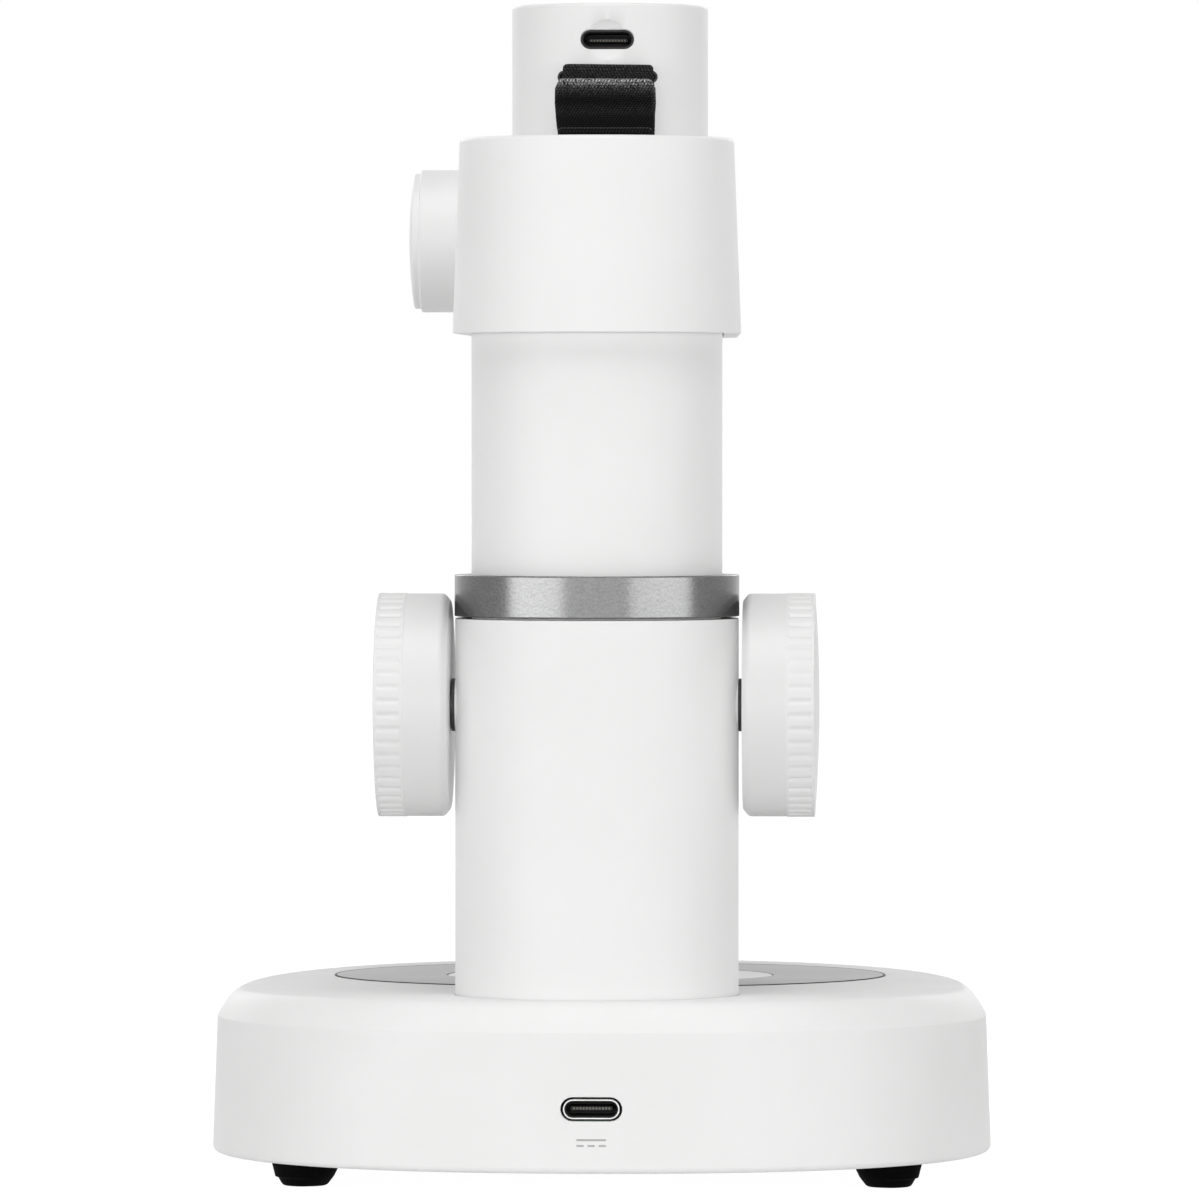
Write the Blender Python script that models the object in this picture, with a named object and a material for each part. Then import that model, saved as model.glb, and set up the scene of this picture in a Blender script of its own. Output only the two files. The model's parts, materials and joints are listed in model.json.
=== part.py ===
"""Digital microscope on a stand with a rack-and-pinion focus column.

Metres, +Z up. The origin is on the surface that the feet stand on, in the middle of the
outline. -Y is the front, where the user looks at the stage, and +Y is the back, with the
column and the power socket. +X is the user's right hand when they sit at the front.
"""
import math

import bmesh
import bpy

MM = 0.001

# Clearances
GAP = 0.3 * MM                  # between two pieces that seat on or in each other
RUNNING_GAP = 0.25 * MM         # round the sliding tube

# Base moulding: an oval of two half superellipses that share their widest line
BASE_HALF_WIDTH = 62.8 * MM
BASE_EXPONENT = 2.3
REAR_WALL_BEHIND_COLUMN = 6.5 * MM
BASE_BEFORE_STAGE = 65.0 * MM   # stage axis to the foot of the front wall
WIDEST_BEFORE_COLUMN = 27.0 * MM
ARM_REACH = 69.5 * MM           # column axis to microscope axis
BASE_HEIGHT = 26.65 * MM        # bottom edge to the deck at the back of the column
CREASE_HEIGHT = 21.95 * MM      # bottom edge to the crease at the back
BASE_DRAFT = 0.8 * MM
BASE_EDGE = 1.0 * MM            # rounding of the bottom edge
SHOULDER_DEPTH = 4.0 * MM       # crease to deck, measured inwards
SHOULDER_START = math.radians(35.0)
BASE_WALL = 2.2 * MM
INSIDE_EASE = 1.0 * MM          # softens the hollow where the walls meet the deck
DECK_WALL = 3.0 * MM
DECK_SLOPE = math.radians(0.8)  # the deck falls towards the front
CREASE_SLOPE = math.radians(0.3)
BASE_POINTS = 56
SHOULDER_STEPS = 4

# Bottom cover, feet and cover screws
COVER_RECESS = 0.4 * MM
COVER_THICKNESS = 2.5 * MM
FOOT_HEIGHT = 4.0 * MM
FOOT_TOP_R = 5.5 * MM
FOOT_STEP_R = 5.0 * MM
FOOT_BOTTOM_R = 3.6 * MM
FOOT_BAND = 0.9 * MM
REAR_FOOT_FROM_SIDE = 16.6 * MM
REAR_FOOT_BEHIND_COLUMN = 1.7 * MM
FRONT_FOOT_FROM_SIDE = 28.8 * MM
FRONT_FOOT_BEFORE_STAGE = 30.0 * MM
SCREW_R = 1.3 * MM
SCREW_HEAD_R = 2.6 * MM
SCREW_HEAD = 1.1 * MM
SCREW_LENGTH = 9.0 * MM
BOSS_R = 3.6 * MM

# Stage and its light
STAGE_R = 45.4 * MM
STAGE_THICKNESS = 1.55 * MM
STAGE_PROUD = 0.1 * MM
WINDOW_R = 26.9 * MM
WINDOW_SUNK = 0.1 * MM
LIGHT_HOLE_R = 24.0 * MM
BOARD = 1.2 * MM                # thickness of every circuit board
LIGHT_BUTTON_R = 4.2 * MM
LIGHT_BUTTON_HEIGHT = 11.0 * MM     # above the bottom edge
LIGHT_BUTTON_PROUD = 0.25 * MM
BUTTON_FLANGE = 0.8 * MM
BUTTON_FLANGE_WIDTH = 1.0 * MM
LIGHT_BUTTON_TRAVEL = 0.8 * MM
STEM_R = 1.2 * MM
LIGHT_STEM = 2.5 * MM
SWITCH_HALF_WIDTH = 3.0 * MM
SWITCH_LENGTH = 4.0 * MM
LIGHT_BOARD_LAP = 2.0 * MM      # how far the light board reaches past its hole

# Sockets
USB_WIDTH = 8.94 * MM
USB_HEIGHT = 3.16 * MM
USB_WALL = 0.3 * MM
USB_DEPTH = 7.3 * MM
USB_HOLE_WIDTH = 9.7 * MM
USB_HOLE_HEIGHT = 3.8 * MM
USB_TONGUE_WIDTH = 6.7 * MM
USB_TONGUE_HEIGHT = 0.7 * MM
USB_TONGUE_DEPTH = 4.6 * MM
BASE_USB_HEIGHT = 10.07 * MM    # above the bottom edge
BASE_USB_SUNK = 0.35 * MM
POWER_BOARD_HALF_WIDTH = 12.0 * MM
POWER_BOARD_LENGTH = 5.0 * MM
BOARD_POST_R = 1.8 * MM
BOARD_POST_INSET = 3.0 * MM

# Column
COLUMN_AROUND_TUBE = 2.6 * MM
COLUMN_HEIGHT = 59.45 * MM      # above the deck
COLUMN_WALL = 1.9 * MM
COLUMN_BELOW_DECK = 11.65 * MM
RING_PROUD = 0.1 * MM
RING_HEIGHT = 6.6 * MM
RING_CHAMFER = 0.3 * MM
BUSH_LENGTH = 7.8 * MM
BUSH_WALL = 1.15 * MM
SHAFT_BUSH_EDGE = 0.25 * MM
PILLAR_ABOVE_TUBE_FOOT = 8.5 * MM
PILLAR_FLANGE = 1.8 * MM
COLUMN_BOLT_R = 2.5 * MM
COLUMN_BOLT_HEAD_R = 4.5 * MM
COLUMN_BOLT_LENGTH = 13.0 * MM

# Sliding tube and its travel
TUBE_R = 19.9 * MM
TUBE_WALL = 2.0 * MM
TUBE_EXTENSION = 38.2 * MM      # ring to arm, as photographed
TRAVEL_DOWN = 17.0 * MM
TRAVEL_UP = 25.0 * MM
TUBE_IN_ARM = 24.9 * MM
TUBE_BELOW_SHAFT = 30.3 * MM

# Rack and pinion
KNOB_BELOW_COLUMN_TOP = 13.8 * MM
GEAR_MODULE = 0.8 * MM
PINION_TEETH = 12
PRESSURE_ANGLE = math.radians(20.0)
TOOTH_THINNING = 0.25 * MM      # taken off each tooth at the pitch line
PINION_ADDENDUM = 0.8 * MM
RACK_ADDENDUM = 0.55 * MM
PINION_WIDTH = 6.0 * MM
RACK_WIDTH = 5.0 * MM
SHAFT_R = 2.0 * MM
HUB_R = 4.2 * MM
TUBE_SLOT = 5.2 * MM

# Focus knobs
KNOB_R = 17.75 * MM
KNOB_LENGTH = 12.1 * MM
KNOB_DOME = 1.0 * MM
KNOB_BEVEL = 1.0 * MM
KNOB_GAP = 0.7 * MM             # column to knob
KNOB_RIBS = 50
KNOB_FACE_SHARE = 0.6           # where the face's middle ring lies, as a share of its radius
RIB_DEPTH = 0.4 * MM
RIB_FADE = 0.5 * MM
RIB_START = 7.2 * MM            # from the knob's inner face
RIB_END = 11.0 * MM
SHAFT_IN_KNOB = 8.5 * MM

# Arm
ARM_HEIGHT = 30.9 * MM
ARM_AROUND_TUBE = 3.0 * MM      # at the bottom edge
ARM_AROUND_SCOPE = 4.95 * MM
ARM_DRAFT = 1.15 * MM           # narrower at the top by this much on each side
ARM_EDGE = 0.6 * MM
ARM_ROOF = 2.4 * MM
ARM_COVER_THICKNESS = 2.0 * MM
ARM_POINTS = 40
BRACKET_PLATE = 3.0 * MM
BRACKET_PLUG = 8.4 * MM
POST_R = 3.0 * MM
POST_FROM_SIDE = 10.9 * MM
POST_BEFORE_COLUMN = 35.0 * MM
SLEEVE_WALL = 1.95 * MM
SLEEVE_LEDGE = 1.5 * MM

# Lock knob
LOCK_HEIGHT = 16.0 * MM         # above the arm's bottom edge
LOCK_R = 11.8 * MM
LOCK_LENGTH = 11.75 * MM
LOCK_DOME = 0.9 * MM
LOCK_STEP = 0.6 * MM
LOCK_STEP_LENGTH = 1.1 * MM
LOCK_BEVEL = 0.4 * MM
LOCK_SCREW_R = 2.2 * MM
LOCK_SCREW_IN_KNOB = 8.6 * MM
LOCK_PAD_R = 2.9 * MM
LOCK_PAD = 1.55 * MM
LOCK_TRAVEL = 0.5 * MM

# Microscope
SCOPE_R = 16.25 * MM
SCOPE_WALL = 1.8 * MM
SCOPE_ABOVE_ARM = 23.9 * MM
SCOPE_EDGE = 0.5 * MM
BARREL_R = 14.8 * MM
BARREL_LENGTH = 37.6 * MM
NECK_STEP = 2.2 * MM            # barrel radius to neck radius
NECK_R = BARREL_R - NECK_STEP
NECK_WALL = 1.6 * MM
NECK_LENGTH = 19.7 * MM
CAP_THICKNESS = 1.5 * MM
CAP_SUNK = 0.3 * MM
CAP_LIP = 0.9 * MM
HOOD_LENGTH = 12.1 * MM
HOOD_SKIRT = 5.8 * MM           # the part of the hood that runs round the neck
HOOD_EDGE = 1.0 * MM
GLASS_INSET = 1.3 * MM          # neck radius to glass radius
LED_RING_WIDTH = 5.0 * MM
FOCUS_RING_RIBS = 24
FOCUS_RING_RIB_DEPTH = 0.45 * MM
WINDOW_GLASS = 1.3 * MM
CELL_LENGTH = 22.0 * MM
CELL_WALL = 2.0 * MM
CELL_ABOVE_NECK_END = 7.7 * MM
LENS_THICKNESS = 4.0 * MM
LENS_RIM = 2.0 * MM
BATTERY_R = 6.5 * MM
BATTERY_LENGTH = 43.0 * MM
MAIN_BOARD_HALF_WIDTH = 12.0 * MM
MAIN_BOARD_HEIGHT = 44.0 * MM
MAIN_BOARD_BEHIND_AXIS = 4.6 * MM
BUTTON_BOARD_HALF_WIDTH = 6.0 * MM
BUTTON_BOARD_HEIGHT = 17.0 * MM
SENSOR_SIZE = 8.0 * MM
SENSOR_BELOW_STEP = 4.0 * MM
NECK_ROOT = 2.0 * MM            # floor of the barrel above the neck

# Openings, buttons and strap of the microscope
SCOPE_USB_DROP = 6.0 * MM       # below the top edge
SCOPE_USB_HOLE_WIDTH = 8.8 * MM
SCOPE_USB_HOLE_HEIGHT = 3.15 * MM
DISH_HALF_WIDTH = 4.8 * MM
DISH_HALF_HEIGHT = 3.9 * MM
DISH_DEPTH = 0.7 * MM
STRAP_DROP = 12.1 * MM
STRAP_SLOT_WIDTH = 17.4 * MM
STRAP_SLOT_HEIGHT = 2.2 * MM
STRAP_PIN_R = 0.9 * MM
STRAP_PIN_LENGTH = 17.8 * MM
STRAP_PIN_BEHIND_AXIS = 12.3 * MM
STRAP_WIDTH = 16.4 * MM
STRAP_THICKNESS = 2.6 * MM
STRAP_TAB = 1.3 * MM
STRAP_ON_ARM = 36.0 * MM        # how far the loop lies back over the arm
BUTTON_R = 3.2 * MM
BUTTON_PROUD = 0.35 * MM
SMALL_FLANGE_WIDTH = 0.7 * MM
BUTTON_EDGE = 0.3 * MM
CAPTURE_DROP = 7.0 * MM
POWER_DROP = 15.5 * MM
BUTTON_TRAVEL = 0.7 * MM

# Heights and places that follow from the sizes above
COLUMN_R = TUBE_R + COLUMN_AROUND_TUBE
RING_R = COLUMN_R + RING_PROUD
BASE_BEHIND_COLUMN = COLUMN_R + REAR_WALL_BEHIND_COLUMN
ARM_REAR_R = TUBE_R + ARM_AROUND_TUBE
ARM_FRONT_R = SCOPE_R + ARM_AROUND_SCOPE
POST_X = ARM_REAR_R - POST_FROM_SIDE
BASE_DEPTH = BASE_BEHIND_COLUMN + ARM_REACH + BASE_BEFORE_STAGE
COLUMN_Y = BASE_DEPTH / 2 - BASE_BEHIND_COLUMN
STAGE_Y = COLUMN_Y - ARM_REACH
WIDEST_Y = COLUMN_Y - WIDEST_BEFORE_COLUMN
REAR_Y = BASE_DEPTH / 2
FRONT_Y = -BASE_DEPTH / 2
BASE_Z = FOOT_HEIGHT
DECK_Z = BASE_Z + BASE_HEIGHT
CREASE_Z = BASE_Z + CREASE_HEIGHT
COVER_Z = BASE_Z + COVER_RECESS
COVER_TOP_Z = COVER_Z + COVER_THICKNESS
COLUMN_TOP_Z = DECK_Z + COLUMN_HEIGHT
TUBE_FOOT_Z = DECK_Z - COLUMN_BELOW_DECK
RING_TOP_Z = COLUMN_TOP_Z + GAP + RING_HEIGHT
KNOB_Z = COLUMN_TOP_Z - KNOB_BELOW_COLUMN_TOP
ARM_Z = RING_TOP_Z + TUBE_EXTENSION
ARM_TOP_Z = ARM_Z + ARM_HEIGHT
ARM_CEILING_Z = ARM_TOP_Z - ARM_ROOF
ARM_COVER_Z = ARM_Z + GAP
ARM_COVER_TOP_Z = ARM_COVER_Z + ARM_COVER_THICKNESS
SLEEVE_Z = ARM_COVER_TOP_Z + GAP
TUBE_TOP_Z = ARM_Z + TUBE_IN_ARM
BRACKET_Z = TUBE_TOP_Z + GAP
SCOPE_TOP_Z = ARM_TOP_Z + SCOPE_ABOVE_ARM
SCOPE_STEP_Z = SLEEVE_Z + SLEEVE_LEDGE + GAP
BARREL_END_Z = SCOPE_STEP_Z - BARREL_LENGTH
NECK_END_Z = BARREL_END_Z - NECK_LENGTH
HOOD_TOP_Z = NECK_END_Z + HOOD_SKIRT
HOOD_Z = HOOD_TOP_Z - HOOD_LENGTH
PITCH_R = GEAR_MODULE * PINION_TEETH / 2
TUBE_BORE_R = TUBE_R - TUBE_WALL
COLUMN_BORE_R = COLUMN_R - COLUMN_WALL
SCOPE_BORE_R = SCOPE_R - SCOPE_WALL
BARREL_BORE_R = BARREL_R - SCOPE_WALL
NECK_BORE_R = NECK_R - NECK_WALL
SLEEVE_BORE_R = SCOPE_R + GAP
SLEEVE_R = SLEEVE_BORE_R + SLEEVE_WALL
CAVITY_REAR_R = TUBE_R + GAP
CAVITY_FRONT_R = SLEEVE_R + GAP
REAR_FOOT_X = BASE_HALF_WIDTH - REAR_FOOT_FROM_SIDE
FRONT_FOOT_X = BASE_HALF_WIDTH - FRONT_FOOT_FROM_SIDE
FEET = {
    "foot_rear_right": (REAR_FOOT_X, COLUMN_Y + REAR_FOOT_BEHIND_COLUMN),
    "foot_rear_left": (-REAR_FOOT_X, COLUMN_Y + REAR_FOOT_BEHIND_COLUMN),
    "foot_front_right": (FRONT_FOOT_X, STAGE_Y - FRONT_FOOT_BEFORE_STAGE),
    "foot_front_left": (-FRONT_FOOT_X, STAGE_Y - FRONT_FOOT_BEFORE_STAGE),
}
TURN_TO_X = (0.0, math.pi / 2, 0.0)
TURN_TO_MINUS_X = (0.0, -math.pi / 2, 0.0)
TURN_TO_MINUS_Y = (math.pi / 2, 0.0, 0.0)


def clear_scene():
    for item in list(bpy.data.objects):
        bpy.data.objects.remove(item, do_unlink=True)


def material(name, colour, roughness, metallic=0.0):
    made = bpy.data.materials.new(name)
    made.use_nodes = True
    shader = made.node_tree.nodes["Principled BSDF"]
    shader.inputs["Base Color"].default_value = (*colour, 1.0)
    shader.inputs["Roughness"].default_value = roughness
    shader.inputs["Metallic"].default_value = metallic
    return made


def empty(name, location, rotation=(0.0, 0.0, 0.0), parent=None):
    made = bpy.data.objects.new(name, None)
    made.location = location
    made.rotation_euler = rotation
    made.parent = parent
    bpy.context.scene.collection.objects.link(made)
    return made


def place(name, mesh, finish, parent=None, location=(0.0, 0.0, 0.0), rotation=(0.0, 0.0, 0.0)):
    """Makes an object of a mesh, with its material, parent and place."""
    made = bpy.data.objects.new(name, mesh)
    if finish is not None:
        mesh.materials.append(finish)
    made.parent = parent
    made.location = location
    made.rotation_euler = rotation
    bpy.context.scene.collection.objects.link(made)
    return made


def mesh_from(bm, name):
    """Closes a bmesh into a mesh with outward faces and smooth round stretches."""
    bmesh.ops.recalc_face_normals(bm, faces=bm.faces[:])
    mesh = bpy.data.meshes.new(name)
    bm.to_mesh(mesh)
    bm.free()
    mesh.shade_smooth()
    mesh.set_sharp_from_angle(angle=math.radians(35.0))
    return mesh


def down_the_outside(profile):
    """A profile of (radius, height) points, ordered so that its outer side runs downwards."""
    area = 0.0
    for here, after in zip(profile, profile[1:] + profile[:1]):
        area += here[0] * after[1] - after[0] * here[1]
    return profile if area < 0 else profile[::-1]


def turned(name, profile, finish, parent=None, location=(0.0, 0.0, 0.0), rotation=(0.0, 0.0, 0.0),
           steps=28):
    """Turns a profile of (radius, height) points about the object's Z axis.

    A profile whose ends lie on the axis makes a solid; any other is closed into a ring.
    """
    points = down_the_outside(list(profile))
    on_axis = [index for index, point in enumerate(points) if point[0] == 0.0]
    bm = bmesh.new()
    verts = [bm.verts.new((radius, 0.0, height)) for radius, height in points]
    if on_axis:
        first = on_axis[0] if (on_axis[0] + 1) % len(points) not in on_axis else on_axis[1]
        verts = verts[first:] + verts[:first]
    else:
        verts.append(verts[0])
    for start, end in zip(verts, verts[1:]):
        bm.edges.new((start, end))
    mesh = bpy.data.meshes.new(name)
    bm.to_mesh(mesh)
    bm.free()
    made = place(name, mesh, finish, parent, location, rotation)
    screw = made.modifiers.new("Turn", "SCREW")
    screw.axis = "Z"
    screw.steps = steps
    screw.render_steps = steps
    screw.use_merge_vertices = True
    screw.merge_threshold = 0.000001
    screw.use_smooth_shade = True
    return made


def loft(name, rings, finish, parent=None, location=(0.0, 0.0, 0.0), rotation=(0.0, 0.0, 0.0)):
    """Skins rings of equal length in their order and closes both ends."""
    bm = bmesh.new()
    rows = [[bm.verts.new(point) for point in ring] for ring in rings]
    for row, above in zip(rows, rows[1:]):
        for index in range(len(row)):
            after = (index + 1) % len(row)
            bm.faces.new((row[index], row[after], above[after], above[index]))
    bm.faces.new(rows[0])
    bm.faces.new(rows[-1])
    return place(name, mesh_from(bm, name), finish, parent, location, rotation)


def prism(name, outline, low, high, finish, parent=None, location=(0.0, 0.0, 0.0),
          rotation=(0.0, 0.0, 0.0)):
    """Extrudes an outline of (x, y) points from one height to another."""
    bm = bmesh.new()
    face = bm.faces.new([bm.verts.new((x, y, low)) for x, y in outline])
    grown = bmesh.ops.extrude_face_region(bm, geom=[face])
    moved = [item for item in grown["geom"] if isinstance(item, bmesh.types.BMVert)]
    bmesh.ops.translate(bm, verts=moved, vec=(0.0, 0.0, high - low))
    return place(name, mesh_from(bm, name), finish, parent, location, rotation)


def block(name, low, high, finish, parent=None, location=(0.0, 0.0, 0.0)):
    """A box between two corners."""
    outline = [(low[0], low[1]), (high[0], low[1]), (high[0], high[1]), (low[0], high[1])]
    return prism(name, outline, low[2], high[2], finish, parent, location)


def disc(radius, low, high):
    """The profile of a plain disc or pin."""
    return [(0.0, high), (radius, high), (radius, low), (0.0, low)]


def tube(inner, outer, low, high):
    """The profile of a plain tube."""
    return [(outer, high), (outer, low), (inner, low), (inner, high)]


def hide_tool(tool):
    tool.hide_render = True
    tool.display_type = "WIRE"
    return tool


def cut(target, tool, operation="DIFFERENCE"):
    hide_tool(tool)
    step = target.modifiers.new(tool.name, "BOOLEAN")
    step.operation = operation
    step.object = tool
    return target


def weld(target, tool):
    """Joins a hidden shape to a piece, so that they are one body."""
    return cut(target, tool, "UNION")


def drill(target, name, radius, low, high, parent=None, location=(0.0, 0.0, 0.0),
          rotation=(0.0, 0.0, 0.0), steps=20):
    """Cuts a round hole about the tool's own Z axis."""
    tool = turned(name, disc(radius, low, high), None, parent, location, rotation, steps)
    return cut(target, tool)


def superellipse(inset, count=BASE_POINTS):
    """The base outline, moved inwards along its normal by an inset."""
    points = []
    for index in range(count):
        angle = 2 * math.pi * (index + 0.5) / count
        across, along = math.cos(angle), math.sin(angle)
        reach = REAR_Y - WIDEST_Y if along > 0 else WIDEST_Y - FRONT_Y
        x = BASE_HALF_WIDTH * math.copysign(abs(across) ** (2 / BASE_EXPONENT), across)
        y = reach * math.copysign(abs(along) ** (2 / BASE_EXPONENT), along)
        normal_x = math.copysign(abs(x / BASE_HALF_WIDTH) ** (BASE_EXPONENT - 1), x) / BASE_HALF_WIDTH
        normal_y = math.copysign(abs(y / reach) ** (BASE_EXPONENT - 1), y) / reach
        size = math.hypot(normal_x, normal_y)
        points.append((x - inset * normal_x / size, WIDEST_Y + y - inset * normal_y / size))
    return points


def deck_z(y):
    return DECK_Z - math.tan(DECK_SLOPE) * (COLUMN_Y + COLUMN_R - y)


def crease_z(y):
    return CREASE_Z - math.tan(CREASE_SLOPE) * (REAR_Y - y)


def level_ring(inset, z):
    return [(x, y, z) for x, y in superellipse(inset)]


def sloping_ring(inset, height_at, drop=0.0):
    return [(x, y, height_at(y) - drop) for x, y in superellipse(inset)]


def shoulder_rings():
    """Rings from the crease up to the deck, along a part of an elliptical arc."""
    rings = []
    first = SHOULDER_START
    for step in range(SHOULDER_STEPS + 1):
        angle = first + (math.pi / 2 - first) * step / SHOULDER_STEPS
        inward = (math.cos(first) - math.cos(angle)) / math.cos(first)
        upward = (math.sin(angle) - math.sin(first)) / (1 - math.sin(first))
        ring = []
        for x, y in superellipse(BASE_DRAFT + SHOULDER_DEPTH * inward):
            ring.append((x, y, crease_z(y) + (deck_z(y) - crease_z(y)) * upward))
        rings.append(ring)
    return rings


def capsule(rear_r, front_r, count=ARM_POINTS):
    """The arm's outline: a round end about each axis, joined by their common tangents."""
    lean = math.asin((rear_r - front_r) / ARM_REACH)
    half = count // 2
    points = []
    for step in range(half):
        angle = lean + (math.pi - 2 * lean) * step / (half - 1)
        points.append((rear_r * math.cos(angle), COLUMN_Y + rear_r * math.sin(angle)))
    for step in range(half):
        angle = math.pi - lean + (math.pi + 2 * lean) * step / (half - 1)
        points.append((front_r * math.cos(angle), STAGE_Y + front_r * math.sin(angle)))
    return points


def slot_ring(width, height, y, centre_z=0.0, steps=5):
    """A flat-sided oval across X, with half-round ends, at one depth."""
    radius = height / 2
    reach = width / 2 - radius
    points = []
    for side, first in ((1, -math.pi / 2), (-1, math.pi / 2)):
        for step in range(steps + 1):
            angle = first + math.pi * step / steps
            x = side * reach + radius * math.cos(angle)
            points.append((x, y, centre_z + radius * math.sin(angle)))
    return points


def involute_flank(base_r, outer_r, root_r, half_angle, steps=3):
    """One flank of a pinion tooth as (radius, angle off the tooth's middle) points."""
    points = [(root_r, half_angle), (base_r, half_angle)]
    for step in range(1, steps + 1):
        radius = base_r + (outer_r - base_r) * step / steps
        spread = math.sqrt((radius / base_r) ** 2 - 1)
        points.append((radius, half_angle - (spread - math.atan(spread))))
    return points


def pinion_outline():
    """All the teeth of the pinion, with one tooth along +X."""
    base_r = PITCH_R * math.cos(PRESSURE_ANGLE)
    root_r = PITCH_R - RACK_ADDENDUM - GAP
    outer_r = PITCH_R + PINION_ADDENDUM
    thickness = math.pi * GEAR_MODULE / 2 - TOOTH_THINNING
    unwind = math.tan(PRESSURE_ANGLE) - PRESSURE_ANGLE
    half_angle = thickness / (2 * PITCH_R) + unwind
    flank = involute_flank(base_r, outer_r, root_r, half_angle)
    points = []
    for tooth in range(PINION_TEETH):
        middle = 2 * math.pi * tooth / PINION_TEETH
        for radius, offset in flank:
            points.append((radius * math.cos(middle - offset), radius * math.sin(middle - offset)))
        for radius, offset in reversed(flank):
            points.append((radius * math.cos(middle + offset), radius * math.sin(middle + offset)))
    return points


def rack_outline(low, high, back):
    """The rack's side view: (depth, height) points, with a gap level with the shaft at rest."""
    pitch = math.pi * GEAR_MODULE
    thickness = pitch / 2 - TOOTH_THINNING
    root = PITCH_R + PINION_ADDENDUM + GAP
    tip = PITCH_R - RACK_ADDENDUM
    root_half = thickness / 2 + (root - PITCH_R) * math.tan(PRESSURE_ANGLE)
    tip_half = thickness / 2 - (PITCH_R - tip) * math.tan(PRESSURE_ANGLE)
    points = [(back, high), (back, low), (root, low)]
    first = math.ceil((low + root_half) / pitch - 0.5)
    last = math.floor((high - root_half) / pitch - 0.5)
    for tooth in range(first, last + 1):
        middle = (tooth + 0.5) * pitch
        points += [(root, middle - root_half), (tip, middle - tip_half)]
        points += [(tip, middle + tip_half), (root, middle + root_half)]
    points.append((root, high))
    return points


def knob_ring(bm, radius, height, count):
    angles = [2 * math.pi * index / count for index in range(count)]
    return [bm.verts.new((radius * math.cos(a), radius * math.sin(a), height)) for a in angles]


def ribbed_ring(bm, radius, depth, height, count):
    """A ring whose radius dips once per rib, through three points each."""
    verts = []
    for rib in range(count):
        for part, dip in ((0.0, 0.0), (0.45, 0.0), (0.72, depth)):
            angle = 2 * math.pi * (rib + part) / count
            reach = radius - dip
            verts.append(bm.verts.new((reach * math.cos(angle), reach * math.sin(angle), height)))
    return verts


def skin_equal(bm, low, high):
    for index in range(len(low)):
        after = (index + 1) % len(low)
        bm.faces.new((low[index], low[after], high[after], high[index]))


def skin_to_ribs(bm, plain, ribbed):
    """Joins a plain ring to a ribbed one with three times as many points."""
    count = len(plain)
    for index in range(count):
        here, after = plain[index], plain[(index + 1) % count]
        ribs = [ribbed[(3 * index + step) % len(ribbed)] for step in range(4)]
        bm.faces.new((here, ribs[0], ribs[1]))
        bm.faces.new((here, ribs[1], after))
        bm.faces.new((after, ribs[1], ribs[2]))
        bm.faces.new((after, ribs[2], ribs[3]))


def focus_knob(name, turn, start, finish, parent):
    """A knob with a bevelled inner edge, a ribbed outer band and a domed face.

    Its local +Z points away from the column, and its inner face lies at start.
    """
    bm = bmesh.new()
    rows = []
    dome_start = KNOB_LENGTH - KNOB_DOME
    rows.append(knob_ring(bm, KNOB_R - KNOB_BEVEL, start, KNOB_RIBS))
    rows.append(knob_ring(bm, KNOB_R, start + KNOB_BEVEL, KNOB_RIBS))
    rows.append(knob_ring(bm, KNOB_R, start + RIB_START, KNOB_RIBS))
    ribs_low = ribbed_ring(bm, KNOB_R, RIB_DEPTH, start + RIB_START + RIB_FADE, KNOB_RIBS)
    ribs_high = ribbed_ring(bm, KNOB_R, RIB_DEPTH, start + RIB_END - RIB_FADE, KNOB_RIBS)
    rim = knob_ring(bm, KNOB_R - RIB_DEPTH / 2, start + dome_start, KNOB_RIBS)
    rise = KNOB_DOME * (1 - KNOB_FACE_SHARE ** 2)
    face = knob_ring(bm, KNOB_R * KNOB_FACE_SHARE, start + dome_start + rise, KNOB_RIBS)
    for low, high in zip(rows, rows[1:]):
        skin_equal(bm, low, high)
    skin_to_ribs(bm, rows[-1], ribs_low)
    skin_equal(bm, ribs_low, ribs_high)
    skin_to_ribs(bm, rim, ribs_high)
    skin_equal(bm, rim, face)
    bm.faces.new(rows[0])
    middle = bm.verts.new((0.0, 0.0, start + KNOB_LENGTH))
    for index in range(KNOB_RIBS):
        bm.faces.new((face[index], face[(index + 1) % KNOB_RIBS], middle))
    made = place(name, mesh_from(bm, name), finish, parent, (0.0, 0.0, 0.0), turn)
    bore_end = start + SHAFT_IN_KNOB + GAP
    return drill(made, "cut_bore_" + name, SHAFT_R + GAP, start - GAP, bore_end, parent,
                 rotation=turn, steps=16)


def usb_shell(name, finish, mouth_y, height_z, depth=USB_DEPTH):
    """A blind oval shell that opens towards +Y."""
    inner_width = USB_WIDTH - 2 * USB_WALL
    inner_height = USB_HEIGHT - 2 * USB_WALL
    back_y = mouth_y - depth
    rings = [
        slot_ring(USB_WIDTH, USB_HEIGHT, back_y, height_z),
        slot_ring(USB_WIDTH, USB_HEIGHT, mouth_y, height_z),
        slot_ring(inner_width, inner_height, mouth_y, height_z),
        slot_ring(inner_width, inner_height, back_y + USB_WALL, height_z),
    ]
    return loft(name, rings, finish)


def usb_tongue(name, finish, mouth_y, height_z, depth=USB_DEPTH):
    back_y = mouth_y - depth + USB_WALL + GAP
    low = (-USB_TONGUE_WIDTH / 2, back_y, height_z - USB_TONGUE_HEIGHT / 2)
    high = (USB_TONGUE_WIDTH / 2, back_y + USB_TONGUE_DEPTH, height_z + USB_TONGUE_HEIGHT / 2)
    return block(name, low, high, finish)


def slot_cutter(name, width, height, near_y, far_y, height_z):
    rings = [slot_ring(width, height, near_y, height_z), slot_ring(width, height, far_y, height_z)]
    return loft(name, rings, None)


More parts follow.
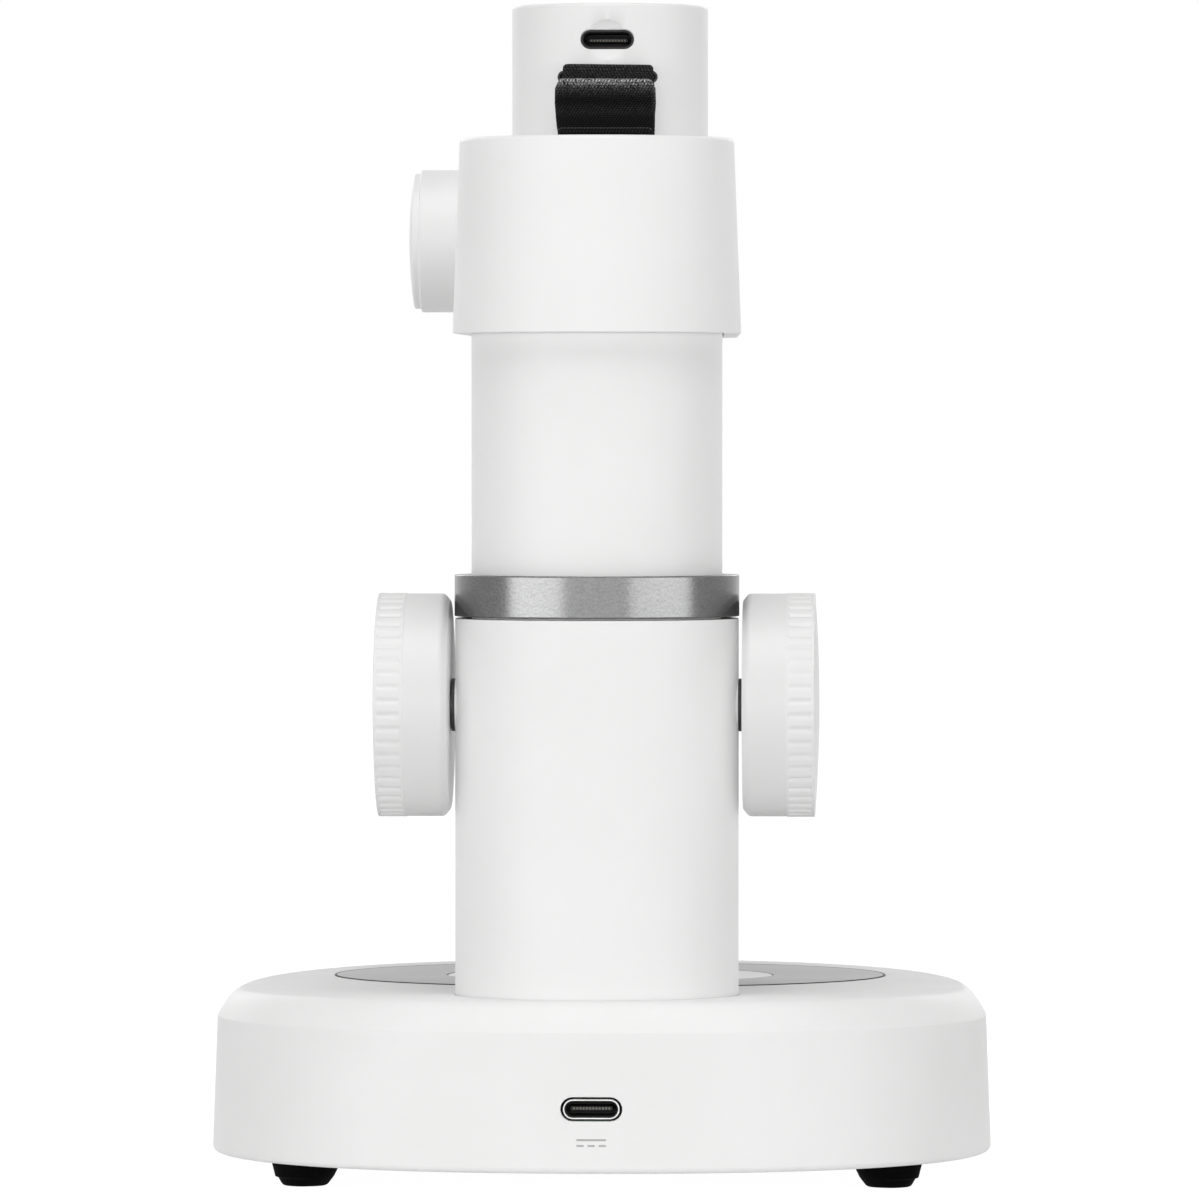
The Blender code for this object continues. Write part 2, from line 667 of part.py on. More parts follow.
def screw(name, finish, location, radius=SCREW_R, head_r=SCREW_HEAD_R, length=SCREW_LENGTH):
    """A pan-head screw that points up from its head's lower face."""
    profile = [(0.0, SCREW_HEAD + length), (radius, SCREW_HEAD + length), (radius, SCREW_HEAD),
               (head_r, SCREW_HEAD), (head_r, 0.0), (0.0, 0.0)]
    return turned(name, profile, finish, None, location, steps=12)


def screw_seat(target, name, x, y, low, high, radius=SCREW_R, head_r=SCREW_HEAD_R):
    """Cuts a screw's hole and the counterbore for its head from below."""
    head_depth = SCREW_HEAD + 2 * GAP
    profile = [(0.0, high + GAP), (radius + GAP, high + GAP), (radius + GAP, low + head_depth),
               (head_r + GAP, low + head_depth), (head_r + GAP, low - GAP), (0.0, low - GAP)]
    return cut(target, turned(name, profile, None, None, (x, y, 0.0), steps=12))


def push_button(name, finish, radius, flange_r, face, flange_at, stem_end, parent):
    """A round button about local +Z, which points out of the housing.

    The lengths are heights along that axis: the visible face, the flange's outer side and the
    stem's inner end.
    """
    profile = [(0.0, face), (radius - BUTTON_EDGE, face), (radius, face - BUTTON_EDGE),
               (radius, flange_at),
               (flange_r, flange_at), (flange_r, flange_at - BUTTON_FLANGE),
               (STEM_R, flange_at - BUTTON_FLANGE), (STEM_R, stem_end), (0.0, stem_end)]
    return turned(name, profile, finish, parent, steps=20)


def build_base(white, rubber, steel):
    rings = [
        sloping_ring(BASE_DRAFT + SHOULDER_DEPTH + INSIDE_EASE, deck_z, DECK_WALL),
        sloping_ring(BASE_DRAFT + BASE_WALL, crease_z, INSIDE_EASE),
        level_ring(BASE_WALL, BASE_Z),
        level_ring(BASE_EDGE * 0.9, BASE_Z),
        level_ring(BASE_EDGE * 0.25, BASE_Z + BASE_EDGE * 0.35),
        level_ring(0.0, BASE_Z + BASE_EDGE),
    ]
    shell = loft("base_shell", rings + shoulder_rings(), white)
    for name, (x, y) in FEET.items():
        boss = turned("join_boss_" + name, disc(BOSS_R, COVER_TOP_Z + GAP, deck_z(y) - DECK_WALL / 2),
                      None, None, (x, y, 0.0), steps=12)
        weld(shell, boss)
        drill(shell, "cut_pilot_" + name, SCREW_R + GAP, BASE_Z,
              COVER_Z + SCREW_HEAD + SCREW_LENGTH + 2 * GAP, None, (x, y, 0.0), steps=10)
    drill(shell, "cut_column_hole", COLUMN_R + GAP, DECK_Z - 3 * DECK_WALL, DECK_Z + DECK_WALL,
          None, (0.0, COLUMN_Y, 0.0), steps=40)

    outline = superellipse(BASE_WALL + GAP)
    cover = prism("base_bottom_cover", outline, COVER_Z, COVER_TOP_Z, white)
    for name, (x, y) in FEET.items():
        screw_seat(cover, "cut_seat_" + name, x, y, COVER_Z, COVER_TOP_Z)
        screw("cover_screw" + name[4:], steel, (x, y, COVER_Z + GAP / 2))
        profile = [(0.0, COVER_Z - GAP), (FOOT_TOP_R, COVER_Z - GAP),
                   (FOOT_TOP_R, COVER_Z - GAP - FOOT_BAND), (FOOT_STEP_R, COVER_Z - 2 * GAP - FOOT_BAND),
                   (FOOT_BOTTOM_R, 0.0), (0.0, 0.0)]
        turned(name, profile, rubber, None, (x, y, 0.0), steps=16)
    screw_seat(cover, "cut_seat_column_bolt", 0.0, COLUMN_Y, COVER_Z, COVER_TOP_Z,
               COLUMN_BOLT_R, COLUMN_BOLT_HEAD_R)
    return shell, cover


def build_stage(shell, grey, frosted, board_green):
    """The stage lies in the deck's own slope, so its pieces hang on a tilted empty."""
    frame = empty("stage_frame", (0.0, STAGE_Y, deck_z(STAGE_Y)), (DECK_SLOPE, 0.0, 0.0))
    low = STAGE_PROUD - STAGE_THICKNESS
    drill(shell, "cut_stage_recess", STAGE_R + GAP, low - GAP, DECK_WALL, frame, steps=48)
    drill(shell, "cut_light_hole", LIGHT_HOLE_R, -2 * DECK_WALL, DECK_WALL, frame, steps=32)
    turned("stage_plate", tube(WINDOW_R + GAP, STAGE_R, low, STAGE_PROUD), grey, frame, steps=48)
    turned("stage_window", disc(WINDOW_R, low, STAGE_PROUD - WINDOW_SUNK), frosted, frame, steps=32)
    top = -DECK_WALL - GAP
    turned("light_board", disc(LIGHT_HOLE_R + LIGHT_BOARD_LAP, top - BOARD, top), board_green, frame,
           steps=24)


def build_light_button(shell, light_grey, dark):
    z = BASE_Z + LIGHT_BUTTON_HEIGHT
    wall_y = FRONT_Y + BASE_WALL + BASE_DRAFT * LIGHT_BUTTON_HEIGHT / CREASE_HEIGHT
    axis = empty("light_button_axis", (0.0, 0.0, z), TURN_TO_MINUS_Y)
    drill(shell, "cut_light_button", LIGHT_BUTTON_R + GAP, -wall_y - BASE_WALL, -FRONT_Y + BASE_WALL,
          axis, steps=20)
    face = -wall_y + BASE_WALL + LIGHT_BUTTON_PROUD
    flange_at = -wall_y - 2 * GAP
    stem_end = flange_at - BUTTON_FLANGE - LIGHT_STEM
    push_button("light_button", light_grey, LIGHT_BUTTON_R, LIGHT_BUTTON_R + BUTTON_FLANGE_WIDTH,
                face, flange_at, stem_end, axis)
    switch_y = -stem_end + LIGHT_BUTTON_TRAVEL + GAP
    low = (-SWITCH_HALF_WIDTH, switch_y, COVER_TOP_Z + GAP)
    high = (SWITCH_HALF_WIDTH, switch_y + SWITCH_LENGTH, z + SWITCH_HALF_WIDTH)
    block("light_switch", low, high, dark)


def build_power_socket(shell, cover, steel, black, board_green):
    z = BASE_Z + BASE_USB_HEIGHT
    wall_y = REAR_Y - BASE_DRAFT * BASE_USB_HEIGHT / CREASE_HEIGHT
    mouth_y = wall_y - BASE_USB_SUNK
    cut(shell, slot_cutter("cut_base_usb", USB_HOLE_WIDTH, USB_HOLE_HEIGHT,
                           wall_y - 2 * BASE_WALL, wall_y + BASE_WALL, z))
    usb_shell("base_usb_shell", steel, mouth_y, z)
    usb_tongue("base_usb_tongue", black, mouth_y, z)
    board_top = z - USB_HEIGHT / 2 - GAP
    board_y = wall_y - BASE_WALL - 3 * GAP
    block("base_power_board", (-POWER_BOARD_HALF_WIDTH, board_y - POWER_BOARD_LENGTH, board_top - BOARD),
          (POWER_BOARD_HALF_WIDTH, board_y, board_top), board_green)
    for side in (-1, 1):
        post = turned("join_board_post_%s" % ("left" if side < 0 else "right"),
                      disc(BOARD_POST_R, COVER_TOP_Z - GAP, board_top - BOARD - GAP), None, None,
                      (side * (POWER_BOARD_HALF_WIDTH - BOARD_POST_INSET),
                       board_y - POWER_BOARD_LENGTH / 2, 0.0), steps=12)
        weld(cover, post)


def build_column(white, aluminium, black, steel, cast):
    axis = (0.0, COLUMN_Y, 0.0)
    pillar_r = COLUMN_BORE_R - GAP
    flange_top = TUBE_FOOT_Z - GAP
    pillar_top = TUBE_FOOT_Z + PILLAR_ABOVE_TUBE_FOOT
    pillar_low = COVER_TOP_Z + GAP
    pillar = turned("column_pillar", [
        (0.0, pillar_top), (pillar_r, pillar_top), (pillar_r, flange_top), (COLUMN_R, flange_top),
        (COLUMN_R, flange_top - PILLAR_FLANGE), (pillar_r, flange_top - PILLAR_FLANGE),
        (pillar_r, pillar_low), (0.0, pillar_low)], cast, None, axis)
    bolt_top = COVER_Z + SCREW_HEAD + COLUMN_BOLT_LENGTH
    drill(pillar, "cut_bolt_hole", COLUMN_BOLT_R + GAP, pillar_low - GAP, bolt_top + 2 * GAP, None, axis,
          steps=20)
    screw("column_bolt", steel, (0.0, COLUMN_Y, COVER_Z + GAP / 2), COLUMN_BOLT_R, COLUMN_BOLT_HEAD_R,
          COLUMN_BOLT_LENGTH)

    bush_seat_z = COLUMN_TOP_Z - BUSH_LENGTH - GAP
    bush_bore = TUBE_R + RUNNING_GAP
    bush_r = bush_bore + BUSH_WALL
    column = turned("column_tube", [
        (COLUMN_R, COLUMN_TOP_Z), (COLUMN_R, TUBE_FOOT_Z), (COLUMN_BORE_R, TUBE_FOOT_Z),
        (COLUMN_BORE_R, bush_seat_z), (bush_r + GAP, bush_seat_z), (bush_r + GAP, COLUMN_TOP_Z)],
        white, None, axis, steps=48)
    drill(column, "cut_shaft_holes", HUB_R + GAP, -COLUMN_R - COLUMN_WALL, COLUMN_R + COLUMN_WALL, None,
          (0.0, COLUMN_Y, KNOB_Z), TURN_TO_X, steps=24)
    turned("guide_bush", tube(bush_bore, bush_r, bush_seat_z + GAP, COLUMN_TOP_Z), black, None, axis)
    low, high = COLUMN_TOP_Z + GAP, RING_TOP_Z
    turned("column_ring", [
        (RING_R - RING_CHAMFER, high), (RING_R, high - RING_CHAMFER), (RING_R, low + RING_CHAMFER),
        (RING_R - RING_CHAMFER, low), (bush_bore, low), (bush_bore, high)], aluminium, None, axis,
        steps=48)
    shaft_axis = empty("shaft_bush_axis", (0.0, COLUMN_Y, KNOB_Z))
    start, end = TUBE_R + GAP, COLUMN_R + KNOB_GAP - GAP
    for name, turn in (("shaft_bush_right", TURN_TO_X), ("shaft_bush_left", TURN_TO_MINUS_X)):
        turned(name, [(HUB_R - SHAFT_BUSH_EDGE, end), (HUB_R, end - SHAFT_BUSH_EDGE), (HUB_R, start),
                      (SHAFT_R + GAP, start), (SHAFT_R + GAP, end)], black, shaft_axis,
               rotation=turn, steps=20)


def build_focus_drive(white, steel, brass):
    axis = empty("focus_axis", (0.0, COLUMN_Y, KNOB_Z))
    start = COLUMN_R + KNOB_GAP
    shaft_end = start + SHAFT_IN_KNOB
    turned("focus_shaft", disc(SHAFT_R, -shaft_end, shaft_end), steel, axis, rotation=TURN_TO_X, steps=24)
    quarter = math.pi / 2
    pinion = prism("pinion", pinion_outline(), -PINION_WIDTH / 2, PINION_WIDTH / 2, brass, axis,
                   rotation=(quarter, math.pi, quarter))
    drill(pinion, "cut_pinion_bore", SHAFT_R + GAP, -PINION_WIDTH, PINION_WIDTH, axis,
          rotation=TURN_TO_X, steps=24)
    focus_knob("focus_knob_right", TURN_TO_X, start, white, axis)
    focus_knob("focus_knob_left", TURN_TO_MINUS_X, start, white, axis)


def build_lift(white, black, brass, steel, cast):
    lift = empty("lift_axis", (0.0, COLUMN_Y, 0.0))
    foot = KNOB_Z - TUBE_BELOW_SHAFT
    inner = turned("inner_tube", tube(TUBE_BORE_R, TUBE_R, foot, TUBE_TOP_Z), white, lift, steps=48)
    slot_top = KNOB_Z + TRAVEL_DOWN + TUBE_SLOT / 2
    slot = block("cut_shaft_slot", (-TUBE_R - TUBE_WALL, -TUBE_SLOT / 2, foot - TUBE_WALL),
                 (TUBE_R + TUBE_WALL, TUBE_SLOT / 2, slot_top), None, lift)
    cut(inner, slot)

    rack_axis = empty("rack_axis", (0.0, 0.0, KNOB_Z), parent=lift)
    back = TUBE_BORE_R - GAP - RACK_WIDTH ** 2 / (8 * TUBE_BORE_R)
    pitch = math.pi * GEAR_MODULE
    low = GAP - TUBE_BELOW_SHAFT
    high = TRAVEL_DOWN + 2 * pitch
    outline = [(-depth, height) for depth, height in rack_outline(low, high, back)]
    prism("rack", outline, -RACK_WIDTH / 2, RACK_WIDTH / 2, brass, rack_axis,
          rotation=(math.pi / 2, 0.0, math.pi / 2))

    bracket = prism("arm_bracket", capsule(CAVITY_REAR_R - GAP, CAVITY_FRONT_R - GAP, 32), BRACKET_Z,
                    BRACKET_Z + BRACKET_PLATE, cast)
    plug = turned("join_bracket_plug", disc(TUBE_BORE_R - GAP, BRACKET_Z - BRACKET_PLUG,
                                            BRACKET_Z + BRACKET_PLATE / 2), None, lift, steps=24)
    weld(bracket, plug)
    post_y = COLUMN_Y - POST_BEFORE_COLUMN
    cover = arm_cover(white)
    for side, label in ((1, "right"), (-1, "left")):
        post = turned("join_post_" + label, disc(POST_R, SLEEVE_Z, BRACKET_Z + BRACKET_PLATE / 2), None,
                      None, (side * POST_X, post_y, 0.0), steps=12)
        weld(bracket, post)
        drill(bracket, "cut_post_" + label, SCREW_R + GAP, SLEEVE_Z - GAP,
              ARM_COVER_Z + SCREW_HEAD + SCREW_LENGTH + 2 * GAP, None, (side * POST_X, post_y, 0.0),
              steps=10)
        screw_seat(cover, "cut_seat_" + label, side * POST_X, post_y, ARM_COVER_Z, ARM_COVER_TOP_Z)
        screw("arm_screw_" + label, steel, (side * POST_X, post_y, ARM_COVER_Z + GAP / 2))
    drill(bracket, "cut_bracket_hole", SLEEVE_BORE_R + GAP, BRACKET_Z - GAP,
          BRACKET_Z + BRACKET_PLATE + GAP, None, (0.0, STAGE_Y, 0.0), steps=28)
    arm_housing(white)

    scope_axis = empty("sleeve_axis", (0.0, STAGE_Y, 0.0))
    ledge_top = SLEEVE_Z + SLEEVE_LEDGE
    sleeve = turned("clamp_sleeve", [
        (SLEEVE_R, TUBE_TOP_Z), (SLEEVE_R, SLEEVE_Z), (BARREL_R + GAP, SLEEVE_Z),
        (BARREL_R + GAP, ledge_top), (SLEEVE_BORE_R, ledge_top), (SLEEVE_BORE_R, TUBE_TOP_Z)],
        black, scope_axis)
    drill(sleeve, "cut_pad_hole", LOCK_PAD_R + GAP, BARREL_R, SLEEVE_R + SLEEVE_WALL, scope_axis,
          (0.0, 0.0, ARM_Z + LOCK_HEIGHT), TURN_TO_X, steps=24)


def arm_housing(white):
    """The arm's outer shell: an open-bottomed capsule with drafted walls and a soft top edge."""
    rings = []
    for z in (ARM_CEILING_Z, ARM_Z):
        rings.append([(x, y, z) for x, y in capsule(CAVITY_REAR_R, CAVITY_FRONT_R)])
    rings.append([(x, y, ARM_Z) for x, y in capsule(ARM_REAR_R, ARM_FRONT_R)])
    top_rear, top_front = ARM_REAR_R - ARM_DRAFT, ARM_FRONT_R - ARM_DRAFT
    for share in (0.0, 0.5, 1.0):
        inset = ARM_EDGE * (1 - math.cos(share * math.pi / 2))
        z = ARM_TOP_Z - ARM_EDGE * (1 - math.sin(share * math.pi / 2))
        rings.append([(x, y, z) for x, y in capsule(top_rear - inset, top_front - inset)])
    housing = loft("arm_housing", rings, white)
    drill(housing, "cut_scope_hole", SLEEVE_BORE_R + GAP / 2, ARM_CEILING_Z - GAP, ARM_TOP_Z + GAP, None,
          (0.0, STAGE_Y, 0.0), steps=40)
    drill(housing, "cut_lock_hole", LOCK_SCREW_R + GAP, CAVITY_FRONT_R - SLEEVE_WALL,
          ARM_FRONT_R + SLEEVE_WALL, None, (0.0, STAGE_Y, ARM_Z + LOCK_HEIGHT), TURN_TO_X, steps=24)
    return housing


def arm_cover(white):
    """The plate that closes the arm from below and follows the tube with its rear edge."""
    rear_r, front_r = CAVITY_REAR_R - GAP, CAVITY_FRONT_R - GAP
    edge_y = COLUMN_Y - TUBE_R / 2
    follow_r = TUBE_R + GAP
    outline = [(x, y) for x, y in capsule(rear_r, front_r) if y < STAGE_Y]
    half_width = rear_r - (COLUMN_Y - edge_y) * (rear_r - front_r) / ARM_REACH
    outline.append((half_width, edge_y))
    first = math.asin((edge_y - COLUMN_Y) / follow_r)
    steps = 12
    for step in range(steps + 1):
        angle = first - (math.pi + 2 * first) * step / steps
        outline.append((follow_r * math.cos(angle), COLUMN_Y + follow_r * math.sin(angle)))
    outline.append((-half_width, edge_y))
    cover = prism("arm_bottom_cover", outline, ARM_COVER_Z, ARM_COVER_TOP_Z, white)
    return drill(cover, "cut_cover_hole", BARREL_R + 2 * GAP, ARM_COVER_Z - GAP, ARM_COVER_TOP_Z + GAP,
                 None, (0.0, STAGE_Y, 0.0), steps=28)


def build_lock(white, steel, black):
    axis = empty("lock_axis", (0.0, STAGE_Y, ARM_Z + LOCK_HEIGHT))
    pad_start = SCOPE_R + GAP
    turned("lock_pad", disc(LOCK_PAD_R, pad_start, pad_start + LOCK_PAD), black, axis,
           rotation=TURN_TO_X, steps=24)
    screw_start = pad_start + LOCK_PAD + GAP
    knob_start = ARM_FRONT_R + GAP
    screw_end = knob_start + LOCK_SCREW_IN_KNOB
    turned("lock_screw", disc(LOCK_SCREW_R, screw_start, screw_end), steel, axis, rotation=TURN_TO_X,
           steps=24)
    knob_end = knob_start + LOCK_LENGTH
    rim = knob_end - LOCK_DOME
    step = rim - LOCK_STEP_LENGTH
    step_r = LOCK_R - LOCK_STEP
    profile = [(0.0, knob_end)]
    for share in (0.35, 0.7):
        profile.append((step_r * share, knob_end - LOCK_DOME * share * share))
    profile += [(step_r, rim), (step_r, step), (LOCK_R, step - LOCK_BEVEL / 2),
                (LOCK_R, knob_start + LOCK_BEVEL), (LOCK_R - LOCK_BEVEL, knob_start), (0.0, knob_start)]
    knob = turned("lock_knob", profile, white, axis, rotation=TURN_TO_X, steps=32)
    drill(knob, "cut_lock_bore", LOCK_SCREW_R + GAP, knob_start - GAP, screw_end + GAP, axis,
          rotation=TURN_TO_X, steps=24)


def build_scope(white, black, steel, glass, board_green, battery_blue, clear):
    axis = empty("scope_axis", (0.0, STAGE_Y, 0.0))
    cap_seat = SCOPE_TOP_Z - CAP_SUNK - CAP_THICKNESS - GAP
    cap_r = SCOPE_BORE_R + CAP_LIP
    neck_top = BARREL_END_Z + NECK_ROOT
    step_top = SCOPE_STEP_Z + SCOPE_WALL
    body = turned("scope_body", [
        (SCOPE_R - SCOPE_EDGE, SCOPE_TOP_Z), (SCOPE_R - 0.3 * SCOPE_EDGE, SCOPE_TOP_Z - 0.3 * SCOPE_EDGE),
        (SCOPE_R, SCOPE_TOP_Z - SCOPE_EDGE), (SCOPE_R, SCOPE_STEP_Z), (BARREL_R, SCOPE_STEP_Z),
        (BARREL_R, BARREL_END_Z), (NECK_R, BARREL_END_Z), (NECK_R, NECK_END_Z), (NECK_BORE_R, NECK_END_Z),
        (NECK_BORE_R, neck_top), (BARREL_BORE_R, neck_top), (BARREL_BORE_R, step_top),
        (SCOPE_BORE_R, step_top), (SCOPE_BORE_R, cap_seat), (cap_r, cap_seat), (cap_r, SCOPE_TOP_Z)],
        white, axis, steps=40)
    turned("scope_cap", disc(cap_r - GAP, cap_seat + GAP, SCOPE_TOP_Z - CAP_SUNK), white, axis)
    build_scope_back(body, steel, black)
    build_scope_front(body, axis, black, board_green)

    board_y = STAGE_Y + MAIN_BOARD_BEHIND_AXIS
    board_top = cap_seat - GAP
    block("main_board", (-MAIN_BOARD_HALF_WIDTH, board_y, board_top - MAIN_BOARD_HEIGHT),
          (MAIN_BOARD_HALF_WIDTH, board_y + BOARD, board_top), board_green)
    battery_y = MAIN_BOARD_BEHIND_AXIS - GAP - BATTERY_R
    turned("battery", disc(BATTERY_R, board_top - BATTERY_LENGTH, board_top), battery_blue, axis,
           (0.0, battery_y, 0.0), steps=16)
    sensor_z = SCOPE_STEP_Z - SENSOR_BELOW_STEP
    turned("sensor_board", disc(BARREL_BORE_R - GAP, sensor_z, sensor_z + BOARD), board_green, axis,
           steps=24)
    half = SENSOR_SIZE / 2
    block("image_sensor", (-half, -half, sensor_z - GAP - BOARD), (half, half, sensor_z - GAP), black, axis)

    cell = empty("lens_axis", (0.0, STAGE_Y, 0.0))
    cell_r = NECK_BORE_R - GAP
    cell_z = NECK_END_Z + CELL_ABOVE_NECK_END
    bore = cell_r - CELL_WALL
    turned("lens_cell", tube(bore, cell_r, cell_z, cell_z + CELL_LENGTH), black, cell)
    lens_low = cell_z + LENS_RIM
    lens_top = lens_low + LENS_THICKNESS
    rim = (LENS_THICKNESS - LENS_RIM) / 2
    lens_r = bore - GAP
    turned("objective_lens", [
        (0.0, lens_top), (lens_r * 0.6, lens_top - rim * 0.36), (lens_r, lens_top - rim),
        (lens_r, lens_low + rim), (lens_r * 0.6, lens_low + rim * 0.36), (0.0, lens_low)], glass, cell,
        steps=24)
    build_focus_ring(black)
    build_hood(axis, black, board_green, clear)


def build_scope_back(body, steel, black):
    """The socket with its shallow dish, and the strap's slot and pin."""
    z = SCOPE_TOP_Z - SCOPE_USB_DROP
    surface_y = STAGE_Y + SCOPE_R
    inside_y = STAGE_Y + math.sqrt(SCOPE_BORE_R ** 2 - (USB_WIDTH / 2) ** 2)
    bm = bmesh.new()
    bmesh.ops.create_uvsphere(bm, u_segments=20, v_segments=10, radius=1.0)
    bmesh.ops.scale(bm, vec=(DISH_HALF_WIDTH, 2 * DISH_DEPTH, DISH_HALF_HEIGHT), verts=bm.verts[:])
    dish = place("cut_usb_dish", mesh_from(bm, "cut_usb_dish"), None, None,
                 (0.0, surface_y + DISH_DEPTH, z))
    cut(body, dish)
    cut(body, slot_cutter("cut_scope_usb", SCOPE_USB_HOLE_WIDTH, SCOPE_USB_HOLE_HEIGHT,
                          inside_y - SCOPE_WALL, surface_y + SCOPE_WALL, z))
    mouth_y = inside_y - GAP
    board_y = STAGE_Y + MAIN_BOARD_BEHIND_AXIS + BOARD
    depth = mouth_y - board_y - GAP
    usb_shell("scope_usb_shell", steel, mouth_y, z, depth)
    usb_tongue("scope_usb_tongue", black, mouth_y, z, depth)

    strap_z = SCOPE_TOP_Z - STRAP_DROP
    pin_y = STAGE_Y + STRAP_PIN_BEHIND_AXIS
    cut(body, slot_cutter("cut_strap_slot", STRAP_SLOT_WIDTH, STRAP_SLOT_HEIGHT, pin_y - SCOPE_WALL,
                          surface_y + SCOPE_WALL, strap_z))
    reach = STRAP_PIN_LENGTH / 2 + GAP
    room = STRAP_PIN_R + GAP
    cut(body, block("cut_strap_pin", (-reach, pin_y - room, strap_z - room),
                    (reach, pin_y + room, strap_z + room), None))
    half = STRAP_PIN_LENGTH / 2
    turned("strap_pin", disc(STRAP_PIN_R, -half, half), steel, None, (0.0, pin_y, strap_z), TURN_TO_X,
           steps=16)
    tab_y = pin_y + STRAP_PIN_R + GAP
    near, far = surface_y + GAP, surface_y + GAP + STRAP_THICKNESS
    floor = ARM_TOP_Z + GAP
    top = strap_z + STRAP_TAB / 2
    side_view = [
        (tab_y, strap_z - STRAP_TAB / 2), (near, strap_z - STRAP_TAB / 2), (near, floor),
        (near + STRAP_ON_ARM, floor), (near + STRAP_ON_ARM, floor + STRAP_THICKNESS),
        (far + STRAP_THICKNESS, floor + STRAP_THICKNESS), (far, floor + 2 * STRAP_THICKNESS), (far, top),
        (near, top + STRAP_THICKNESS / 2), (near, top), (tab_y, top)]
    half = STRAP_WIDTH / 2
    prism("hand_strap", side_view, -half, half, black, rotation=(math.pi / 2, 0.0, math.pi / 2))


def build_scope_front(body, axis, black, board_green):
    """Two push buttons on the front and the board with their switches."""
    battery_front = MAIN_BOARD_BEHIND_AXIS - GAP - 2 * BATTERY_R
    board_back = battery_front - GAP
    middle_z = SCOPE_TOP_Z - (CAPTURE_DROP + POWER_DROP) / 2
    half = BUTTON_BOARD_HEIGHT / 2
    block("button_board", (-BUTTON_BOARD_HALF_WIDTH, board_back - BOARD, middle_z - half),
          (BUTTON_BOARD_HALF_WIDTH, board_back, middle_z + half), board_green, axis)
    flange_r = BUTTON_R + SMALL_FLANGE_WIDTH
    flange_at = math.sqrt(SCOPE_BORE_R ** 2 - flange_r ** 2) - GAP
    stem_end = BOARD - board_back + BUTTON_TRAVEL + GAP
    for name, drop in (("capture_button", CAPTURE_DROP), ("power_button", POWER_DROP)):
        button_axis = empty(name + "_axis", (0.0, STAGE_Y, SCOPE_TOP_Z - drop), TURN_TO_MINUS_Y)
        drill(body, "cut_" + name, BUTTON_R + GAP, flange_at - SCOPE_WALL, SCOPE_R + SCOPE_WALL,
              button_axis, steps=20)
        push_button(name, black, BUTTON_R, flange_r, SCOPE_R + BUTTON_PROUD, flange_at, stem_end,
                    button_axis)


def build_focus_ring(black):
    """A ribbed ring round the neck, between the barrel and the hood."""
    axis = empty("focus_ring_axis", (0.0, STAGE_Y, 0.0))
    outline = []
    for rib in range(FOCUS_RING_RIBS):
        for part, dip in ((0.0, 0.0), (0.5, 0.0), (0.62, FOCUS_RING_RIB_DEPTH),
                          (0.88, FOCUS_RING_RIB_DEPTH)):
            angle = 2 * math.pi * (rib + part) / FOCUS_RING_RIBS
            radius = BARREL_R - dip
            outline.append((radius * math.cos(angle), radius * math.sin(angle)))
    ring = prism("scope_focus_ring", outline, HOOD_TOP_Z + GAP, BARREL_END_Z - GAP, black, axis)
    drill(ring, "cut_focus_ring", NECK_R + GAP, HOOD_TOP_Z - GAP, BARREL_END_Z + GAP, axis, steps=28)


def build_hood(axis, black, board_green, clear):
    """The hood at the lower end, with the light ring above its shelf and the glass below."""
    shelf = NECK_END_Z - GAP - BOARD - GAP
    glass_r = NECK_R - GLASS_INSET
    glass_low = HOOD_Z + GAP
    seat = glass_low + WINDOW_GLASS + GAP
    shelf_bore_r = glass_r - HOOD_EDGE
    turned("lens_hood", [
        (BARREL_R, HOOD_TOP_Z), (BARREL_R, HOOD_Z + HOOD_EDGE), (BARREL_R - HOOD_EDGE, HOOD_Z),
        (glass_r + GAP, HOOD_Z), (glass_r + GAP, seat), (shelf_bore_r, seat), (shelf_bore_r, shelf),
        (NECK_R + GAP, shelf), (NECK_R + GAP, HOOD_TOP_Z)], black, axis)
    turned("front_glass", disc(glass_r, glass_low, glass_low + WINDOW_GLASS), clear, axis, steps=28)
    turned("led_ring", tube(NECK_R - LED_RING_WIDTH, NECK_R, shelf + GAP, shelf + GAP + BOARD),
           board_green, axis, steps=24)


def build():
    clear_scene()
    white = material("white_plastic", (0.87, 0.87, 0.86), 0.42)
    black = material("black_plastic", (0.02, 0.02, 0.022), 0.5)
    rubber = material("black_rubber", (0.015, 0.015, 0.016), 0.85)
    aluminium = material("blasted_aluminium", (0.62, 0.63, 0.64), 0.38, 1.0)
    steel = material("steel", (0.55, 0.55, 0.56), 0.3, 1.0)
    brass = material("brass", (0.72, 0.53, 0.24), 0.35, 1.0)
    cast = material("cast_alloy", (0.35, 0.35, 0.36), 0.55, 1.0)
    grey = material("stage_grey", (0.5, 0.5, 0.5), 0.6)
    light_grey = material("button_grey", (0.7, 0.7, 0.7), 0.5)
    frosted = material("frosted_plastic", (0.82, 0.83, 0.84), 0.5)
    board_green = material("circuit_board", (0.03, 0.16, 0.08), 0.5)
    battery_blue = material("battery_sleeve", (0.06, 0.16, 0.4), 0.4)
    glass = material("lens_glass", (0.85, 0.9, 0.92), 0.05)
    clear = material("clear_glass", (0.9, 0.92, 0.93), 0.05)

    shell, cover = build_base(white, rubber, steel)
    build_stage(shell, grey, frosted, board_green)
    build_light_button(shell, light_grey, black)
    build_power_socket(shell, cover, steel, black, board_green)
    build_column(white, aluminium, black, steel, cast)
    build_focus_drive(white, steel, brass)
    build_lift(white, black, brass, steel, cast)
    build_lock(white, steel, black)
    build_scope(white, black, steel, glass, board_green, battery_blue, clear)


build()
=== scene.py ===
# %% Load the fixed frame
import json
import math

